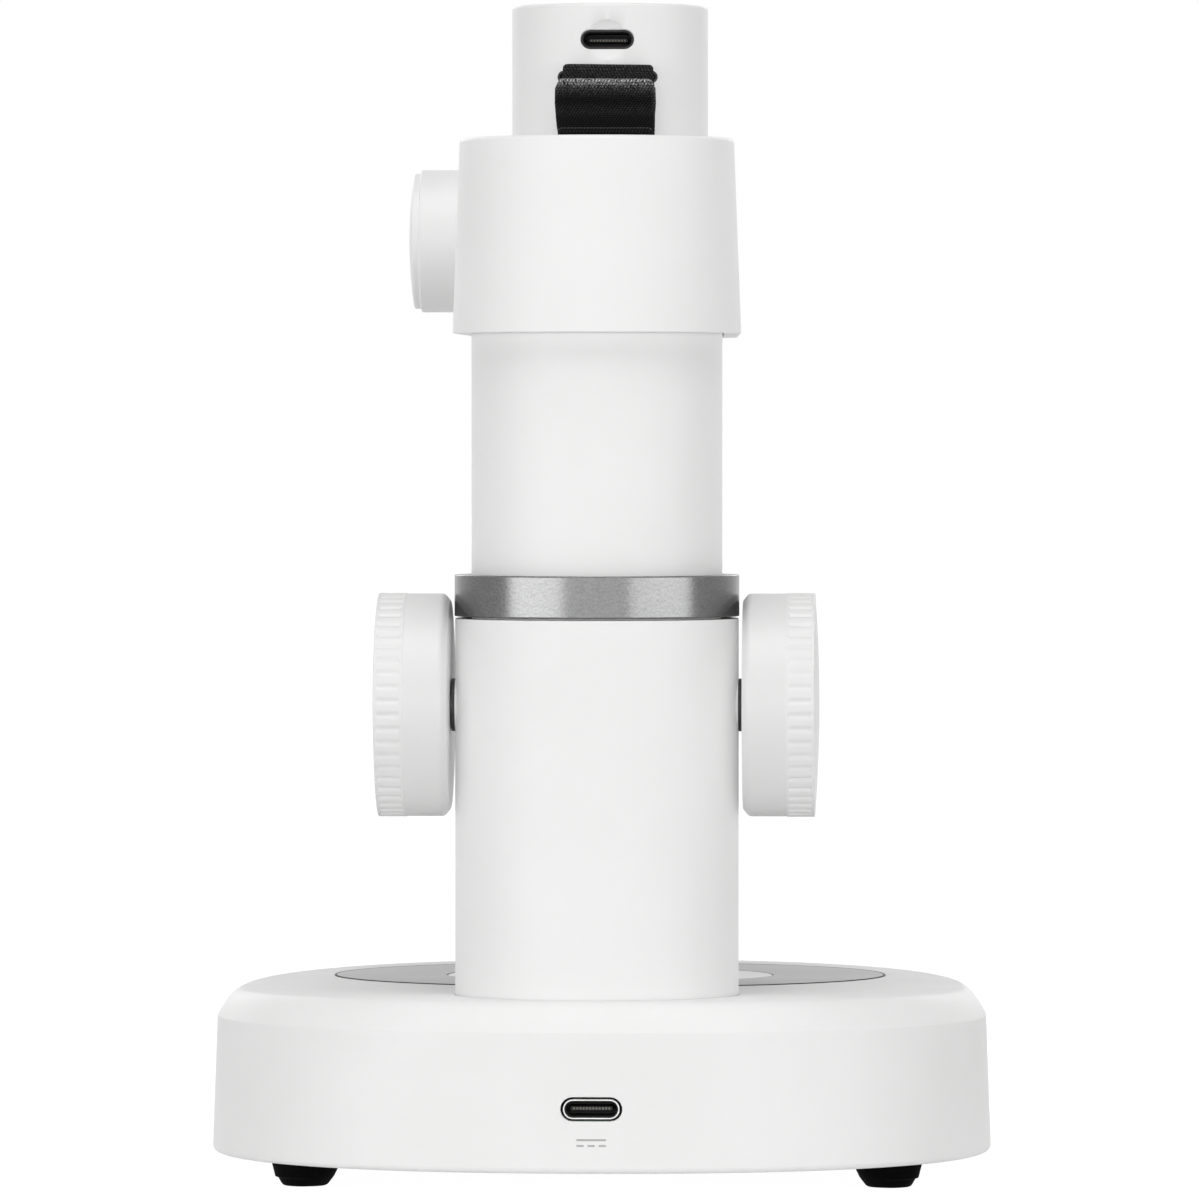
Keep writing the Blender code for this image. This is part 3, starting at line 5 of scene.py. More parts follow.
import bmesh
import bpy
import numpy as np
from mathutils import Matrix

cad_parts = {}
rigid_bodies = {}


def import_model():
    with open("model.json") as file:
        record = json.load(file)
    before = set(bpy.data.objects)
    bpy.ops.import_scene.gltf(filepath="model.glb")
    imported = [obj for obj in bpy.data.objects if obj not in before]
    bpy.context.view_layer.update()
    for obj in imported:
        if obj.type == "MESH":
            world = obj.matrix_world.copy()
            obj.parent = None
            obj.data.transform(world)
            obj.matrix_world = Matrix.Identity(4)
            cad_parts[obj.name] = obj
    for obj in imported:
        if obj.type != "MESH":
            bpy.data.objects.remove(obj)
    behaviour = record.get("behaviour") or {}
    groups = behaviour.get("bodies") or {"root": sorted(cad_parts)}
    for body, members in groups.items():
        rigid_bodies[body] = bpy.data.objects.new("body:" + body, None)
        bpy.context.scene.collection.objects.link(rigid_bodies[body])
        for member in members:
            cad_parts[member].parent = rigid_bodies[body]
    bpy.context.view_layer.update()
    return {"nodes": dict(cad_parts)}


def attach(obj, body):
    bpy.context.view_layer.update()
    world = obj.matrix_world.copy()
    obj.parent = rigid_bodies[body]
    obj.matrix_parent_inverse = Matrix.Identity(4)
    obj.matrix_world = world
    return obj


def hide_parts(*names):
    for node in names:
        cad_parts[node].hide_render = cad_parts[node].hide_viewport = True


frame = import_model()
nodes = frame["nodes"]

# %% [markdown]
# # A digital microscope, seen from behind
#
# The solids that were just loaded say where everything is, but they are coarse. Most of what
# shows is made again here as a smooth surface in the same place, and every solid that stays
# gets a finish of its own. All lengths below are in millimetres, because that is how the
# object is measured; they become Blender's metres in one place, where a mesh is stored.
#
# X runs across the object, Y from its front to its back, Z up. The first sizes are the ones
# that the solids were made with, so that the new surfaces meet them.

# %% Sizes that the solids share
MM = 0.001
GAP = 0.3
COLUMN_Y, STAGE_Y = 52.75, -16.75
REAR_Y, FRONT_Y, WIDEST_Y = 81.75, -81.75, 25.75
BASE_HALF_WIDTH, BASE_EXPONENT = 62.8, 2.3
BASE_Z, CREASE_HEIGHT, DECK_HEIGHT = 4.0, 21.95, 26.65
BASE_DRAFT, SHOULDER_DEPTH = 0.8, 4.0
DECK_SLOPE, CREASE_SLOPE = math.radians(0.8), math.radians(0.3)
STAGE_R, WINDOW_R, LIGHT_HOLE_R, STAGE_RECESS = 45.4, 26.9, 24.0, 1.75
LIGHT_BUTTON_R, LIGHT_BUTTON_Z = 4.2, 15.0
COLUMN_R, TUBE_R, RING_R = 22.5, 19.9, 22.6
COLUMN_TOP_Z, RING_TOP_Z, KNOB_Z = 90.1, 97.0, 76.3
ARM_Z, ARM_TOP_Z = 135.2, 166.1
ARM_REAR_R, ARM_FRONT_R = 22.9, 21.2
LOCK_Z = ARM_Z + 16.0
SCOPE_R, SCOPE_TOP_Z = 16.25, 190.0
BARREL_BACK_Y = STAGE_Y + SCOPE_R
BARREL_R, BARREL_END_Z = 14.8, 102.0
BASE_USB_Z, SCOPE_USB_Z, STRAP_Z = 14.07, 184.0, 177.9
BARREL_BUTTON_R, BARREL_BUTTONS = 3.2, (("capture", 183.0), ("power", 174.5))
print("column at y", COLUMN_Y, "mm, microscope at y", STAGE_Y, "mm, top at", SCOPE_TOP_Z, "mm")

# %% [markdown]
# ## Camera
#
# The photograph was taken from about one and a half metres behind the object with a long
# lens, which is why upright edges stay almost parallel. The level line through the lens is
# well above the middle of the picture, so the camera looks very slightly down.

# %% Camera
CAMERA_PLACE = (-0.0470, 1.5455, 0.1207)
CAMERA_TURN = math.radians(1.788)
CAMERA_DOWN = math.radians(1.065)
LENS_MM = 282.4

camera = bpy.data.objects.new("camera", bpy.data.cameras.new("camera"))
bpy.context.scene.collection.objects.link(camera)
camera.location = CAMERA_PLACE
camera.rotation_euler = (math.pi / 2 - CAMERA_DOWN, 0.0, math.pi + CAMERA_TURN)
camera.data.lens = LENS_MM
camera.data.sensor_width = 36.0
camera.data.clip_start, camera.data.clip_end = 0.05, 50.0
bpy.context.scene.camera = camera
bpy.context.scene.view_settings.view_transform = "Standard"
print("camera at", CAMERA_PLACE, "with a lens of", LENS_MM, "mm")

# %% [markdown]
# ## Background, floor and lamps
#
# The background is pure white paper. If the lamps had to make it white, the white object in
# front of it would lose all its shading. So the world is white only for the rays that look at
# it: from the camera, in a reflection, or through glass. For the light that falls on the
# object it is a calm grey, and soft lamps do the rest. The floor does the same but keeps a
# share of its true shading, so that the object's shadow stays on it.

# %% Background and floor
WORLD_LIGHT = 0.30
FLOOR_SHARE = 0.80
FLOOR_GLOW = 1.22


def looking_ray(tree):
    """One where a ray comes from the camera, a reflection or clear glass, and nought elsewhere."""
    path = tree.nodes.new("ShaderNodeLightPath")
    first = tree.nodes.new("ShaderNodeMath")
    first.operation = "MAXIMUM"
    tree.links.new(path.outputs["Is Camera Ray"], first.inputs[0])
    tree.links.new(path.outputs["Is Glossy Ray"], first.inputs[1])
    second = tree.nodes.new("ShaderNodeMath")
    second.operation = "MAXIMUM"
    tree.links.new(first.outputs[0], second.inputs[0])
    tree.links.new(path.outputs["Is Transmission Ray"], second.inputs[1])
    return second.outputs[0]


def make_world():
    world = bpy.data.worlds.new("studio")
    world.use_nodes = True
    tree = world.node_tree
    light = tree.nodes["Background"]
    light.inputs["Strength"].default_value = WORLD_LIGHT
    light.inputs["Color"].default_value = (1.0, 1.0, 1.0, 1.0)
    paper = tree.nodes.new("ShaderNodeBackground")
    paper.inputs["Strength"].default_value = 1.0
    paper.inputs["Color"].default_value = (1.0, 1.0, 1.0, 1.0)
    mix = tree.nodes.new("ShaderNodeMixShader")
    tree.links.new(looking_ray(tree), mix.inputs[0])
    tree.links.new(light.outputs[0], mix.inputs[1])
    tree.links.new(paper.outputs[0], mix.inputs[2])
    tree.links.new(mix.outputs[0], tree.nodes["World Output"].inputs["Surface"])
    bpy.context.scene.world = world


def make_floor():
    finish = bpy.data.materials.new("floor_paper")
    finish.use_nodes = True
    tree = finish.node_tree
    paper = tree.nodes["Principled BSDF"]
    paper.inputs["Base Color"].default_value = (0.80, 0.80, 0.80, 1.0)
    paper.inputs["Roughness"].default_value = 1.0
    paper.inputs["Specular IOR Level"].default_value = 0.0
    glow = tree.nodes.new("ShaderNodeEmission")
    glow.inputs["Strength"].default_value = FLOOR_GLOW
    share = tree.nodes.new("ShaderNodeMath")
    share.operation = "MULTIPLY"
    share.inputs[1].default_value = FLOOR_SHARE
    mix = tree.nodes.new("ShaderNodeMixShader")
    tree.links.new(looking_ray(tree), share.inputs[0])
    tree.links.new(share.outputs[0], mix.inputs[0])
    tree.links.new(paper.outputs[0], mix.inputs[1])
    tree.links.new(glow.outputs[0], mix.inputs[2])
    tree.links.new(mix.outputs[0], tree.nodes["Material Output"].inputs["Surface"])
    angle = np.linspace(0.0, 2 * np.pi, 96, endpoint=False)
    ring = np.stack([12 * np.cos(angle), 12 * np.sin(angle), np.full(96, -0.00005)], axis=-1)
    mesh = bpy.data.meshes.new("floor")
    mesh.from_pydata(ring.tolist(), [], [list(range(96))])
    mesh.materials.append(finish)
    floor = bpy.data.objects.new("floor", mesh)
    bpy.context.scene.collection.objects.link(floor)


make_world()
make_floor()
print("white paper behind and below")

# %% [markdown]
# Six large area lamps stand round the object. The three behind it are wide and low, because
# the polished ring mirrors them: their width is the width of its bright streaks, and the dark
# bands between them are the room. Two in front keep the far side from going black, and one
# above lights the deck.

# %% Soft lamps
LAMPS = (
    # name, place in metres, width, height, watts
    ("lamp_rear_left", (1.49, 1.35, 0.145), 1.75, 0.28, 12.0),
    ("lamp_rear_right", (-1.618, 1.196, 0.145), 2.10, 0.28, 11.5),
    ("lamp_rear_middle", (0.0, 2.25, 0.145), 1.90, 0.28, 5.0),
    ("lamp_front_left", (0.85, -1.70, 0.80), 0.60, 1.00, 5.0),
    ("lamp_front_right", (-0.75, -1.80, 0.80), 0.60, 1.00, 4.5),
    ("lamp_top", (0.0, 0.70, 1.60), 1.20, 1.00, 12.5),
)
AIM = (0.0, 0.02, 0.09)


def add_lamp(name, place, width, height, watts):
    """A rectangular lamp that faces the middle of the object."""
    data = bpy.data.lights.new(name, "AREA")
    data.shape = "RECTANGLE"
    data.size, data.size_y = width, height
    data.energy = watts
    lamp = bpy.data.objects.new(name, data)
    bpy.context.scene.collection.objects.link(lamp)
    lamp.location = place
    away = np.array(place) - np.array(AIM)
    lamp.rotation_euler = (math.atan2(math.hypot(away[0], away[1]), away[2]), 0.0,
                           math.atan2(away[0], -away[1]))
    return lamp


for row in LAMPS:
    add_lamp(*row)
print(len(LAMPS), "soft lamps")

# %% [markdown]
# ## Helpers for surfaces
#
# A shape here is a grid of points: rows along a profile, columns round an outline. One helper
# joins the grid's neighbours into faces, one rounds the corners of a profile, and one stores
# a finished piece. Working on whole grids is quick, and every size stays readable.

# %% Grid helpers
def joined(rows, columns, loop_rows=False):
    """The faces of a grid. Point (i, j) is joined to (i, j+1), (i+1, j+1) and (i+1, j); the
    columns always close into a loop, and the rows do where loop_rows says so."""
    index = np.arange(rows * columns).reshape(rows, columns)
    here = index if loop_rows else index[:-1]
    above = np.roll(index, -1, axis=0) if loop_rows else index[1:]
    corners = [here, np.roll(here, -1, axis=1), np.roll(above, -1, axis=1), above]
    return np.stack(corners, axis=-1).reshape(-1, 4).tolist()


def eased(corners, radius, closed=False, steps=4):
    """Rounds a profile's corners. Each corner P becomes the curve (1-s)²A + 2s(1-s)P + s²B,
    where A and B lie on its two sides, radius away or at most 0.45 of the side's length. One
    more point just before A and just after B keeps the shading of the flat sides flat."""
    points = np.array([corner[:2] for corner in corners], float)
    radii = np.array([corner[2] if len(corner) > 2 else radius for corner in corners], float)
    before, after = np.roll(points, 1, axis=0) - points, np.roll(points, -1, axis=0) - points
    long_before = np.linalg.norm(before, axis=1)
    long_after = np.linalg.norm(after, axis=1)
    to_start = before * (np.minimum(radii, 0.45 * long_before) / long_before)[:, None]
    to_end = after * (np.minimum(radii, 0.45 * long_after) / long_after)[:, None]
    start, end = points + to_start, points + to_end
    s = np.linspace(0.0, 1.0, steps + 1)[None, :, None]
    curve = (1 - s) ** 2 * start[:, None] + 2 * s * (1 - s) * points[:, None] + s ** 2 * end[:, None]
    supports = (points + 1.08 * to_start)[:, None], (points + 1.08 * to_end)[:, None]
    curve = np.concatenate([supports[0], curve, supports[1]], axis=1)
    if closed:
        return curve.reshape(-1, 2)
    inner = curve[1:-1].reshape(-1, 2)
    return np.vstack([points[:1], inner, points[-1:]])


def smooth(edge0, edge1, value):
    """The smooth step 3u² - 2u³ of u, the share of the way from edge0 to edge1."""
    u = np.clip((value - edge0) / (edge1 - edge0), 0.0, 1.0)
    return u * u * (3 - 2 * u)


def turned(profile, steps=144, dip=None):
    """Turns a profile about an axis: (r, h) at angle t becomes (r cos t, r sin t, h). A dip is
    a function of angle and height that is taken off r. Ends with r = 0 close in a pole."""
    profile = np.asarray(profile, float)
    pole = profile[:, 0] < 1e-9
    body = profile[~pole]
    angle = np.linspace(0.0, 2 * np.pi, steps, endpoint=False)[None, :]
    height = body[:, 1:] + 0 * angle
    radius = body[:, :1] + 0 * angle
    if dip is not None:
        radius = radius - dip(angle, height)
    points = np.stack([radius * np.cos(angle), radius * np.sin(angle), height], axis=-1)
    points = points.reshape(-1, 3)
    faces = joined(len(body), steps, loop_rows=not pole.any())
    for end, row in ((0, 0), (-1, len(body) - 1)):
        if pole[end]:
            points = np.vstack([points, [[0.0, 0.0, profile[end, 1]]]])
            rim = np.arange(steps) + row * steps
            tip = np.full(steps, len(points) - 1)
            faces += np.stack([rim, np.roll(rim, -1), tip], axis=-1).tolist()
    return points, faces


def lofted(rings):
    """Skins a grid of rings and closes its first and last ring with one flat face each."""
    rows, columns = rings.shape[:2]
    faces = joined(rows, columns)
    faces.append(list(range(columns)))
    faces.append(list(range((rows - 1) * columns, rows * columns)))
    return rings.reshape(-1, 3), faces


def moved(shape, place=(0.0, 0.0, 0.0), towards="+Z"):
    """Points a shape's own +Z another way, then moves it."""
    points, faces = shape
    x, y, z = points.T
    ways = {"+Z": (x, y, z), "+X": (z, x, y), "-X": (-z, x, y), "+Y": (y, z, x), "-Y": (x, -z, y)}
    return np.stack(ways[towards], axis=-1) + np.array(place), faces


print("grid helpers ready")

# %% [markdown]
# A piece is stored as a mesh with smooth shading, and only edges that turn by more than a set
# angle stay sharp. Holes are cut with Boolean modifiers, whose outcome becomes the mesh at
# once, so that the object stays where it is and carries nothing live.

# %% Storing pieces and cutting them
SHARP = math.radians(32.0)


def stored(name, shape):
    """Makes a mesh object in metres, with its faces outwards and its round stretches smooth."""
    points, faces = shape
    mesh = bpy.data.meshes.new(name)
    mesh.from_pydata((np.asarray(points) * MM).tolist(), [], faces)
    bm = bmesh.new()
    bm.from_mesh(mesh)
    bmesh.ops.recalc_face_normals(bm, faces=bm.faces[:])
    bm.to_mesh(mesh)
    bm.free()
    mesh.shade_smooth()
    mesh.set_sharp_from_angle(angle=SHARP)
    made = bpy.data.objects.new(name, mesh)
    bpy.context.scene.collection.objects.link(made)
    return made


def carved(made, *shapes):
    """Cuts shapes out of a piece with Boolean steps, and keeps the outcome as its mesh."""
    tools = [stored("tool", shape) for shape in shapes]
    for tool in tools:
        made.modifiers.new("cut", "BOOLEAN").object = tool
    graph = bpy.context.evaluated_depsgraph_get()
    mesh = bpy.data.meshes.new_from_object(made.evaluated_get(graph))
    made.modifiers.clear()
    made.data = mesh
    for tool in tools:
        bpy.data.objects.remove(tool, do_unlink=True)
    mesh.shade_smooth()
    mesh.set_sharp_from_angle(angle=SHARP)
    return made


def finished(made, body, finish, slot, *stands_for):
    """Gives a piece its finish, and says what it rides on and which solids it stands for."""
    made.data.materials.clear()
    made.data.materials.append(finish)
    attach(made, body)
    if stands_for:
        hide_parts(*stands_for)
    print(made.name, len(made.data.polygons), "faces")
    return made


print("edges that turn by more than", round(math.degrees(SHARP)), "degrees stay sharp")

# %% [markdown]
# ## Shader groups
#
# A group is a small machine made of nodes that several finishes share. Each one here takes
# the place on the object and gives back a height, a mask or a colour. The finish feeds them
# into its own bump, roughness and base colour, with its own values.

# %% Group helpers
def new_group(name, inputs, outputs):
    """An empty shader group with named sockets; inputs are (name, kind, default)."""
    tree = bpy.data.node_groups.new(name, "ShaderNodeTree")
    for label, kind, default in inputs:
        socket = tree.interface.new_socket(label, in_out="INPUT", socket_type="NodeSocket" + kind)
        if default is not None:
            socket.default_value = default
    for label, kind in outputs:
        tree.interface.new_socket(label, in_out="OUTPUT", socket_type="NodeSocket" + kind)
    return tree, tree.nodes.new("NodeGroupInput"), tree.nodes.new("NodeGroupOutput")


def add(tree, kind, settings=None, **inputs):
    """Adds a node, sets its properties, and fills or links its inputs by name. The keys i0, i1
    and so on stand for inputs by number, where names repeat."""
    node = tree.nodes.new("ShaderNode" + kind)
    for key, value in (settings or {}).items():
        setattr(node, key, value)
    for key, value in inputs.items():
        numbered = key[0] == "i" and key[1:].isdigit()
        socket = node.inputs[int(key[1:]) if numbered else key.replace("_", " ")]
        if isinstance(value, bpy.types.NodeSocket):
            tree.links.new(value, socket)
        else:
            socket.default_value = value
    return node


def maths(tree, operation, first, second=0.0):
    """One step of arithmetic on two values."""
    return add(tree, "Math", {"operation": operation}, i0=first, i1=second).outputs[0]


def ranged(tree, value, **limits):
    """Maps a value from one range to another; the limits are From Min, To Max and so on."""
    return add(tree, "MapRange", Value=value, **limits).outputs[0]


print("helpers for shader nodes ready")


# %% [markdown]
# ### Moulded grain
#
# An injection mould is spark-eroded or blasted, so that plastic comes out with a fine even
# grain. Two noises of different size make its height. A third, very large one says where the
# surface is a touch glossier or duller, as real mouldings and hands leave it.

# %% Group: moulded grain
def make_grain_group():
    tree, inside, out = new_group(
        "moulded_grain",
        [("Place", "Vector", None), ("Grain per metre", "Float", 2600.0),
         ("Patch per metre", "Float", 35.0)],
        [("Height", "Float"), ("Patch", "Float")])
    place = inside.outputs["Place"]
    fine = add(tree, "TexNoise", Vector=place, Scale=inside.outputs["Grain per metre"], Detail=2.0,
               Roughness=0.6)
    half = maths(tree, "MULTIPLY", inside.outputs["Grain per metre"], 0.37)
    coarse = add(tree, "TexNoise", Vector=place, Scale=half, Detail=1.0)
    both = maths(tree, "ADD", maths(tree, "MULTIPLY", fine.outputs[0], 0.65),
                 maths(tree, "MULTIPLY", coarse.outputs[0], 0.35))
    tree.links.new(both, out.inputs["Height"])
    patch = add(tree, "TexNoise", Vector=place, Scale=inside.outputs["Patch per metre"], Detail=3.0,
                Roughness=0.55)
    spread = ranged(tree, patch.outputs[0], From_Min=0.32, From_Max=0.68)
    tree.links.new(spread, out.inputs["Patch"])
    return tree


# %% [markdown]
# ### Turning marks
#
# Parts cut on a lathe carry fine rings round their axis. The distance from the axis and the
# height along it drive a noise that is squeezed almost to a line, so that it hardly changes
# round the part.

# %% Group: turning marks
def make_turning_group():
    tree, inside, out = new_group(
        "turning_marks",
        [("Place", "Vector", None), ("Marks per metre", "Float", 4000.0)],
        [("Height", "Float"), ("Mask", "Float")])
    parts = add(tree, "SeparateXYZ", Vector=inside.outputs["Place"])
    squares = maths(tree, "ADD", maths(tree, "MULTIPLY", parts.outputs[0], parts.outputs[0]),
                    maths(tree, "MULTIPLY", parts.outputs[1], parts.outputs[1]))
    reach = maths(tree, "SQRT", squares)
    line = add(tree, "CombineXYZ", X=reach, Y=parts.outputs[2], Z=0.0)
    marks = add(tree, "TexNoise", Vector=line.outputs[0], Scale=inside.outputs["Marks per metre"],
                Detail=2.0)
    tree.links.new(marks.outputs[0], out.inputs["Height"])
    spread = ranged(tree, marks.outputs[0], From_Min=0.35, From_Max=0.65)
    tree.links.new(spread, out.inputs["Mask"])
    return tree


# %% [markdown]
# ### Twill weave
#
# The strap is a nylon webbing. Its threads go over two and under two, each row a step
# further, which draws diagonal ribs. The strap's mesh carries its own coordinates in metres,
# across and along the band, so that the weave follows every fold.

# %% Group: twill weave
def make_twill_group():
    tree, inside, out = new_group(
        "twill_weave",
        [("Cloth place", "Vector", None), ("Ribs per metre", "Float", 1500.0),
         ("Threads per metre", "Float", 3000.0)],
        [("Height", "Float"), ("Thread", "Float"), ("Fuzz", "Float")])
    parts = add(tree, "SeparateXYZ", Vector=inside.outputs["Cloth place"])
    across = maths(tree, "MULTIPLY", parts.outputs[0], inside.outputs["Ribs per metre"])
    along = maths(tree, "MULTIPLY", parts.outputs[1], inside.outputs["Ribs per metre"])
    slant = maths(tree, "ADD", across, maths(tree, "MULTIPLY", along, 0.62))
    rib = maths(tree, "PINGPONG", slant, 0.5)
    rows = maths(tree, "MULTIPLY", parts.outputs[1], inside.outputs["Threads per metre"])
    row = maths(tree, "PINGPONG", rows, 0.5)
    raised = add(tree, "MapRange", {"interpolation_type": "SMOOTHSTEP"}, Value=rib, From_Min=0.08,
                 From_Max=0.38)
    cross = add(tree, "MapRange", {"interpolation_type": "SMOOTHSTEP"}, Value=row, From_Min=0.02,
                From_Max=0.30)
    thread = maths(tree, "MULTIPLY", raised.outputs[0], cross.outputs[0])
    fuzz = add(tree, "TexNoise", Vector=inside.outputs["Cloth place"], Scale=5200.0, Detail=2.0)
    height = maths(tree, "ADD", thread, maths(tree, "MULTIPLY", fuzz.outputs[0], 0.35))
    tree.links.new(height, out.inputs["Height"])
    tree.links.new(thread, out.inputs["Thread"])
    tree.links.new(fuzz.outputs[0], out.inputs["Fuzz"])
    return tree


GRAIN, TURNING, TWILL = make_grain_group(), make_turning_group(), make_twill_group()
print("shader groups:", [group.name for group in (GRAIN, TURNING, TWILL)])

# %% [markdown]
# ## Finishes
#
# Each finish starts from the same shader. What is equal all over, such as metalness, is set
# on the shader itself; what varies over the surface comes in through a group.

# %% Finish helpers
def new_finish(name, **constants):
    """A material whose shader sockets are set to constants; underscores stand for spaces."""
    made = bpy.data.materials.new(name)
    made.use_nodes = True
    shader = made.node_tree.nodes["Principled BSDF"]
    for key, value in constants.items():
        shader.inputs[key.replace("_", " ")].default_value = value
    return made, made.node_tree, shader


def grey(level, warmth=0.0):
    """A neutral colour with a slight shift towards red (+) or blue (-)."""
    return (level * (1 + warmth), level, level * (1 - warmth), 1.0)


def use_group(tree, group, **inputs):
    """Places a group in a material and fills or links its inputs by name."""
    return add(tree, "Group", {"node_tree": group}, **inputs)


def blended(tree, mask, low, high):
    """A colour that goes from low to high with the mask; a mix node's inputs 6 and 7 are the
    two colours."""
    return add(tree, "Mix", {"data_type": "RGBA"}, i0=mask, i6=low, i7=high).outputs[2]


def surfaced(tree, shader, colour, rough, height, strength, depth):
    """Links a colour and a roughness to the shader, and a bump of some depth from a height."""
    bump = add(tree, "Bump", Strength=strength, Distance=depth, Height=height)
    tree.links.new(colour, shader.inputs["Base Color"])
    tree.links.new(rough, shader.inputs["Roughness"])
    tree.links.new(bump.outputs[0], shader.inputs["Normal"])


def textured(name, low, high, duller, glossier, grain=2600.0, depth=0.00001, patch=35.0, strength=0.5,
             **constants):
    """A finish with moulded grain: its colour and its roughness drift between two values."""
    made, tree, shader = new_finish(name, **constants)
    place = add(tree, "TexCoord").outputs["Object"]
    group = use_group(tree, GRAIN, Place=place, Grain_per_metre=grain, Patch_per_metre=patch)
    mask = group.outputs["Patch"]
    surfaced(tree, shader, blended(tree, mask, low, high),
             ranged(tree, mask, To_Min=duller, To_Max=glossier), group.outputs["Height"], strength, depth)
    return made


def machined(name, low, high, rough, marks=4000.0, centre=(0.0, 0.0, 0.0), turn=None):
    """A metal with turning marks round an axis through centre; turn lays the axis over."""
    made, tree, shader = new_finish(name, Metallic=1.0)
    place = add(tree, "TexCoord").outputs["Object"]
    away = add(tree, "VectorMath", {"operation": "SUBTRACT"}, i0=place, i1=centre)
    vector = away.outputs[0]
    if turn is not None:
        vector = add(tree, "VectorRotate", {"rotation_type": "EULER_XYZ"}, Vector=vector,
                     Rotation=turn).outputs[0]
    group = use_group(tree, TURNING, Place=vector, Marks_per_metre=marks)
    mask = group.outputs["Mask"]
    surfaced(tree, shader, blended(tree, mask, low, high),
             ranged(tree, mask, To_Min=rough - 0.06, To_Max=rough + 0.06), group.outputs["Height"], 0.6,
             0.000004)
    return made


print("helpers for finishes ready")


# %% [markdown]
# ### White mouldings
#
# All the large parts are the same white plastic, but the eye tells them apart: the base is a
# little more matt than the column, and the knobs are the smoothest because fingers polish
# them. So each family gets its own values of one recipe. The knobs and their ribbed bands
# are also painted darker than the rest, as painted shade.

# %% White finishes
WHITE_BASE = textured("white_base", grey(0.800, 0.004), grey(0.825, 0.002), 0.52, 0.46,
                      strength=0.45, Specular_IOR_Level=0.3)
WHITE_COLUMN = textured("white_column", grey(0.815, 0.003), grey(0.835, 0.001), 0.44, 0.38,
                        depth=0.000008, strength=0.4, Specular_IOR_Level=0.3)
# Painted shade: the two knob finishes are darker copies of the same white plastic.
SHADED_WHITE_KNOB = textured("shaded_white_knob", grey(0.725, 0.003), grey(0.745, 0.001), 0.40, 0.33,
                      grain=3200.0, depth=0.000006, strength=0.35, Specular_IOR_Level=0.3)
SHADED_WHITE_GRIP = textured("shaded_white_grip", grey(0.750, 0.003), grey(0.770, 0.001), 0.46, 0.40,
                      grain=3200.0, depth=0.000008, strength=0.4, Specular_IOR_Level=0.3)
WHITE_ARM = textured("white_arm", grey(0.815, 0.003), grey(0.835, 0.001), 0.46, 0.40,
                     depth=0.000009, strength=0.4, Specular_IOR_Level=0.3)
WHITE_BARREL = textured("white_barrel", grey(0.800, 0.003), grey(0.822, 0.001), 0.42, 0.36,
                        depth=0.000007, strength=0.4, Specular_IOR_Level=0.3)
print("six white finishes")

# %% [markdown]
# ### Blasted metal ring
#
# The ring at the top of the column is aluminium, blasted with beads and anodised. The beads
# leave overlapping dimples, which a cell pattern draws well, and each dimple throws the light
# a slightly different way, so the ring sparkles in fine grains.

# %% Blasted metal
def make_blasted():
    made, tree, shader = new_finish("blasted_metal", Metallic=1.0)
    place = add(tree, "TexCoord").outputs["Object"]
    dimples = add(tree, "TexVoronoi", {"feature": "SMOOTH_F1"}, Vector=place, Scale=2300.0,
                  Smoothness=0.6)
    speckle = add(tree, "TexNoise", Vector=place, Scale=3300.0, Detail=1.0)
    shade = ranged(tree, speckle.outputs[0], From_Min=0.30, From_Max=0.70)
    rough = ranged(tree, speckle.outputs[0], To_Min=0.20, To_Max=0.29)
    surfaced(tree, shader, blended(tree, shade, grey(0.116, 0.0), grey(0.166, -0.004)), rough,
             dimples.outputs["Distance"], 0.5, 0.00001)
    return made


BLASTED = make_blasted()
print("blasted metal")

# %% [markdown]
# ### Black webbing
#
# Black nylon is never quite black. Its raised threads are painted a little lighter, as a
# painted highlight, and along the upper fold a grey painted highlight lies over rubbed wear.
# This mask of painted highlight and wear is worked out where the strap is made and stored
# with its mesh.

# %% Webbing finish
def make_webbing():
    made, tree, shader = new_finish("black_webbing", Specular_IOR_Level=0.10)
    cloth = add(tree, "Attribute", {"attribute_name": "cloth"}).outputs["Vector"]
    fold = add(tree, "Attribute", {"attribute_name": "fold"}).outputs["Fac"]
    group = use_group(tree, TWILL, Cloth_place=cloth, Ribs_per_metre=1900.0, Threads_per_metre=2600.0)
    thread = group.outputs["Thread"]
    # Painted highlight: the raised threads are painted lighter than the black between them.
    base = blended(tree, thread, grey(0.0010), grey(0.0055))
    patchy = ranged(tree, group.outputs["Fuzz"], From_Min=0.38, From_Max=0.60)
    caught = maths(tree, "ADD", maths(tree, "MULTIPLY", thread, 0.65), 0.35)
    # Painted highlight: the fold mask turns the threads grey along the fold and on the band at the slot,
    # over a little real wear.
    sheen_and_rubbed = maths(tree, "MULTIPLY", maths(tree, "MULTIPLY", fold, caught), patchy)
    rough = ranged(tree, thread, To_Min=0.85, To_Max=0.42)
    surfaced(tree, shader, blended(tree, sheen_and_rubbed, base, grey(0.62)), rough, group.outputs["Height"], 0.9,
             0.00012)
    return made


WEBBING = make_webbing()
print("webbing")

# %% [markdown]
# ### The other plastics, metals and glass
#
# Small parts use the same recipes with other values. Rubber is the roughest and has a coarse
# grain, plated steel is the smoothest, and a circuit board is green lacquer over copper.

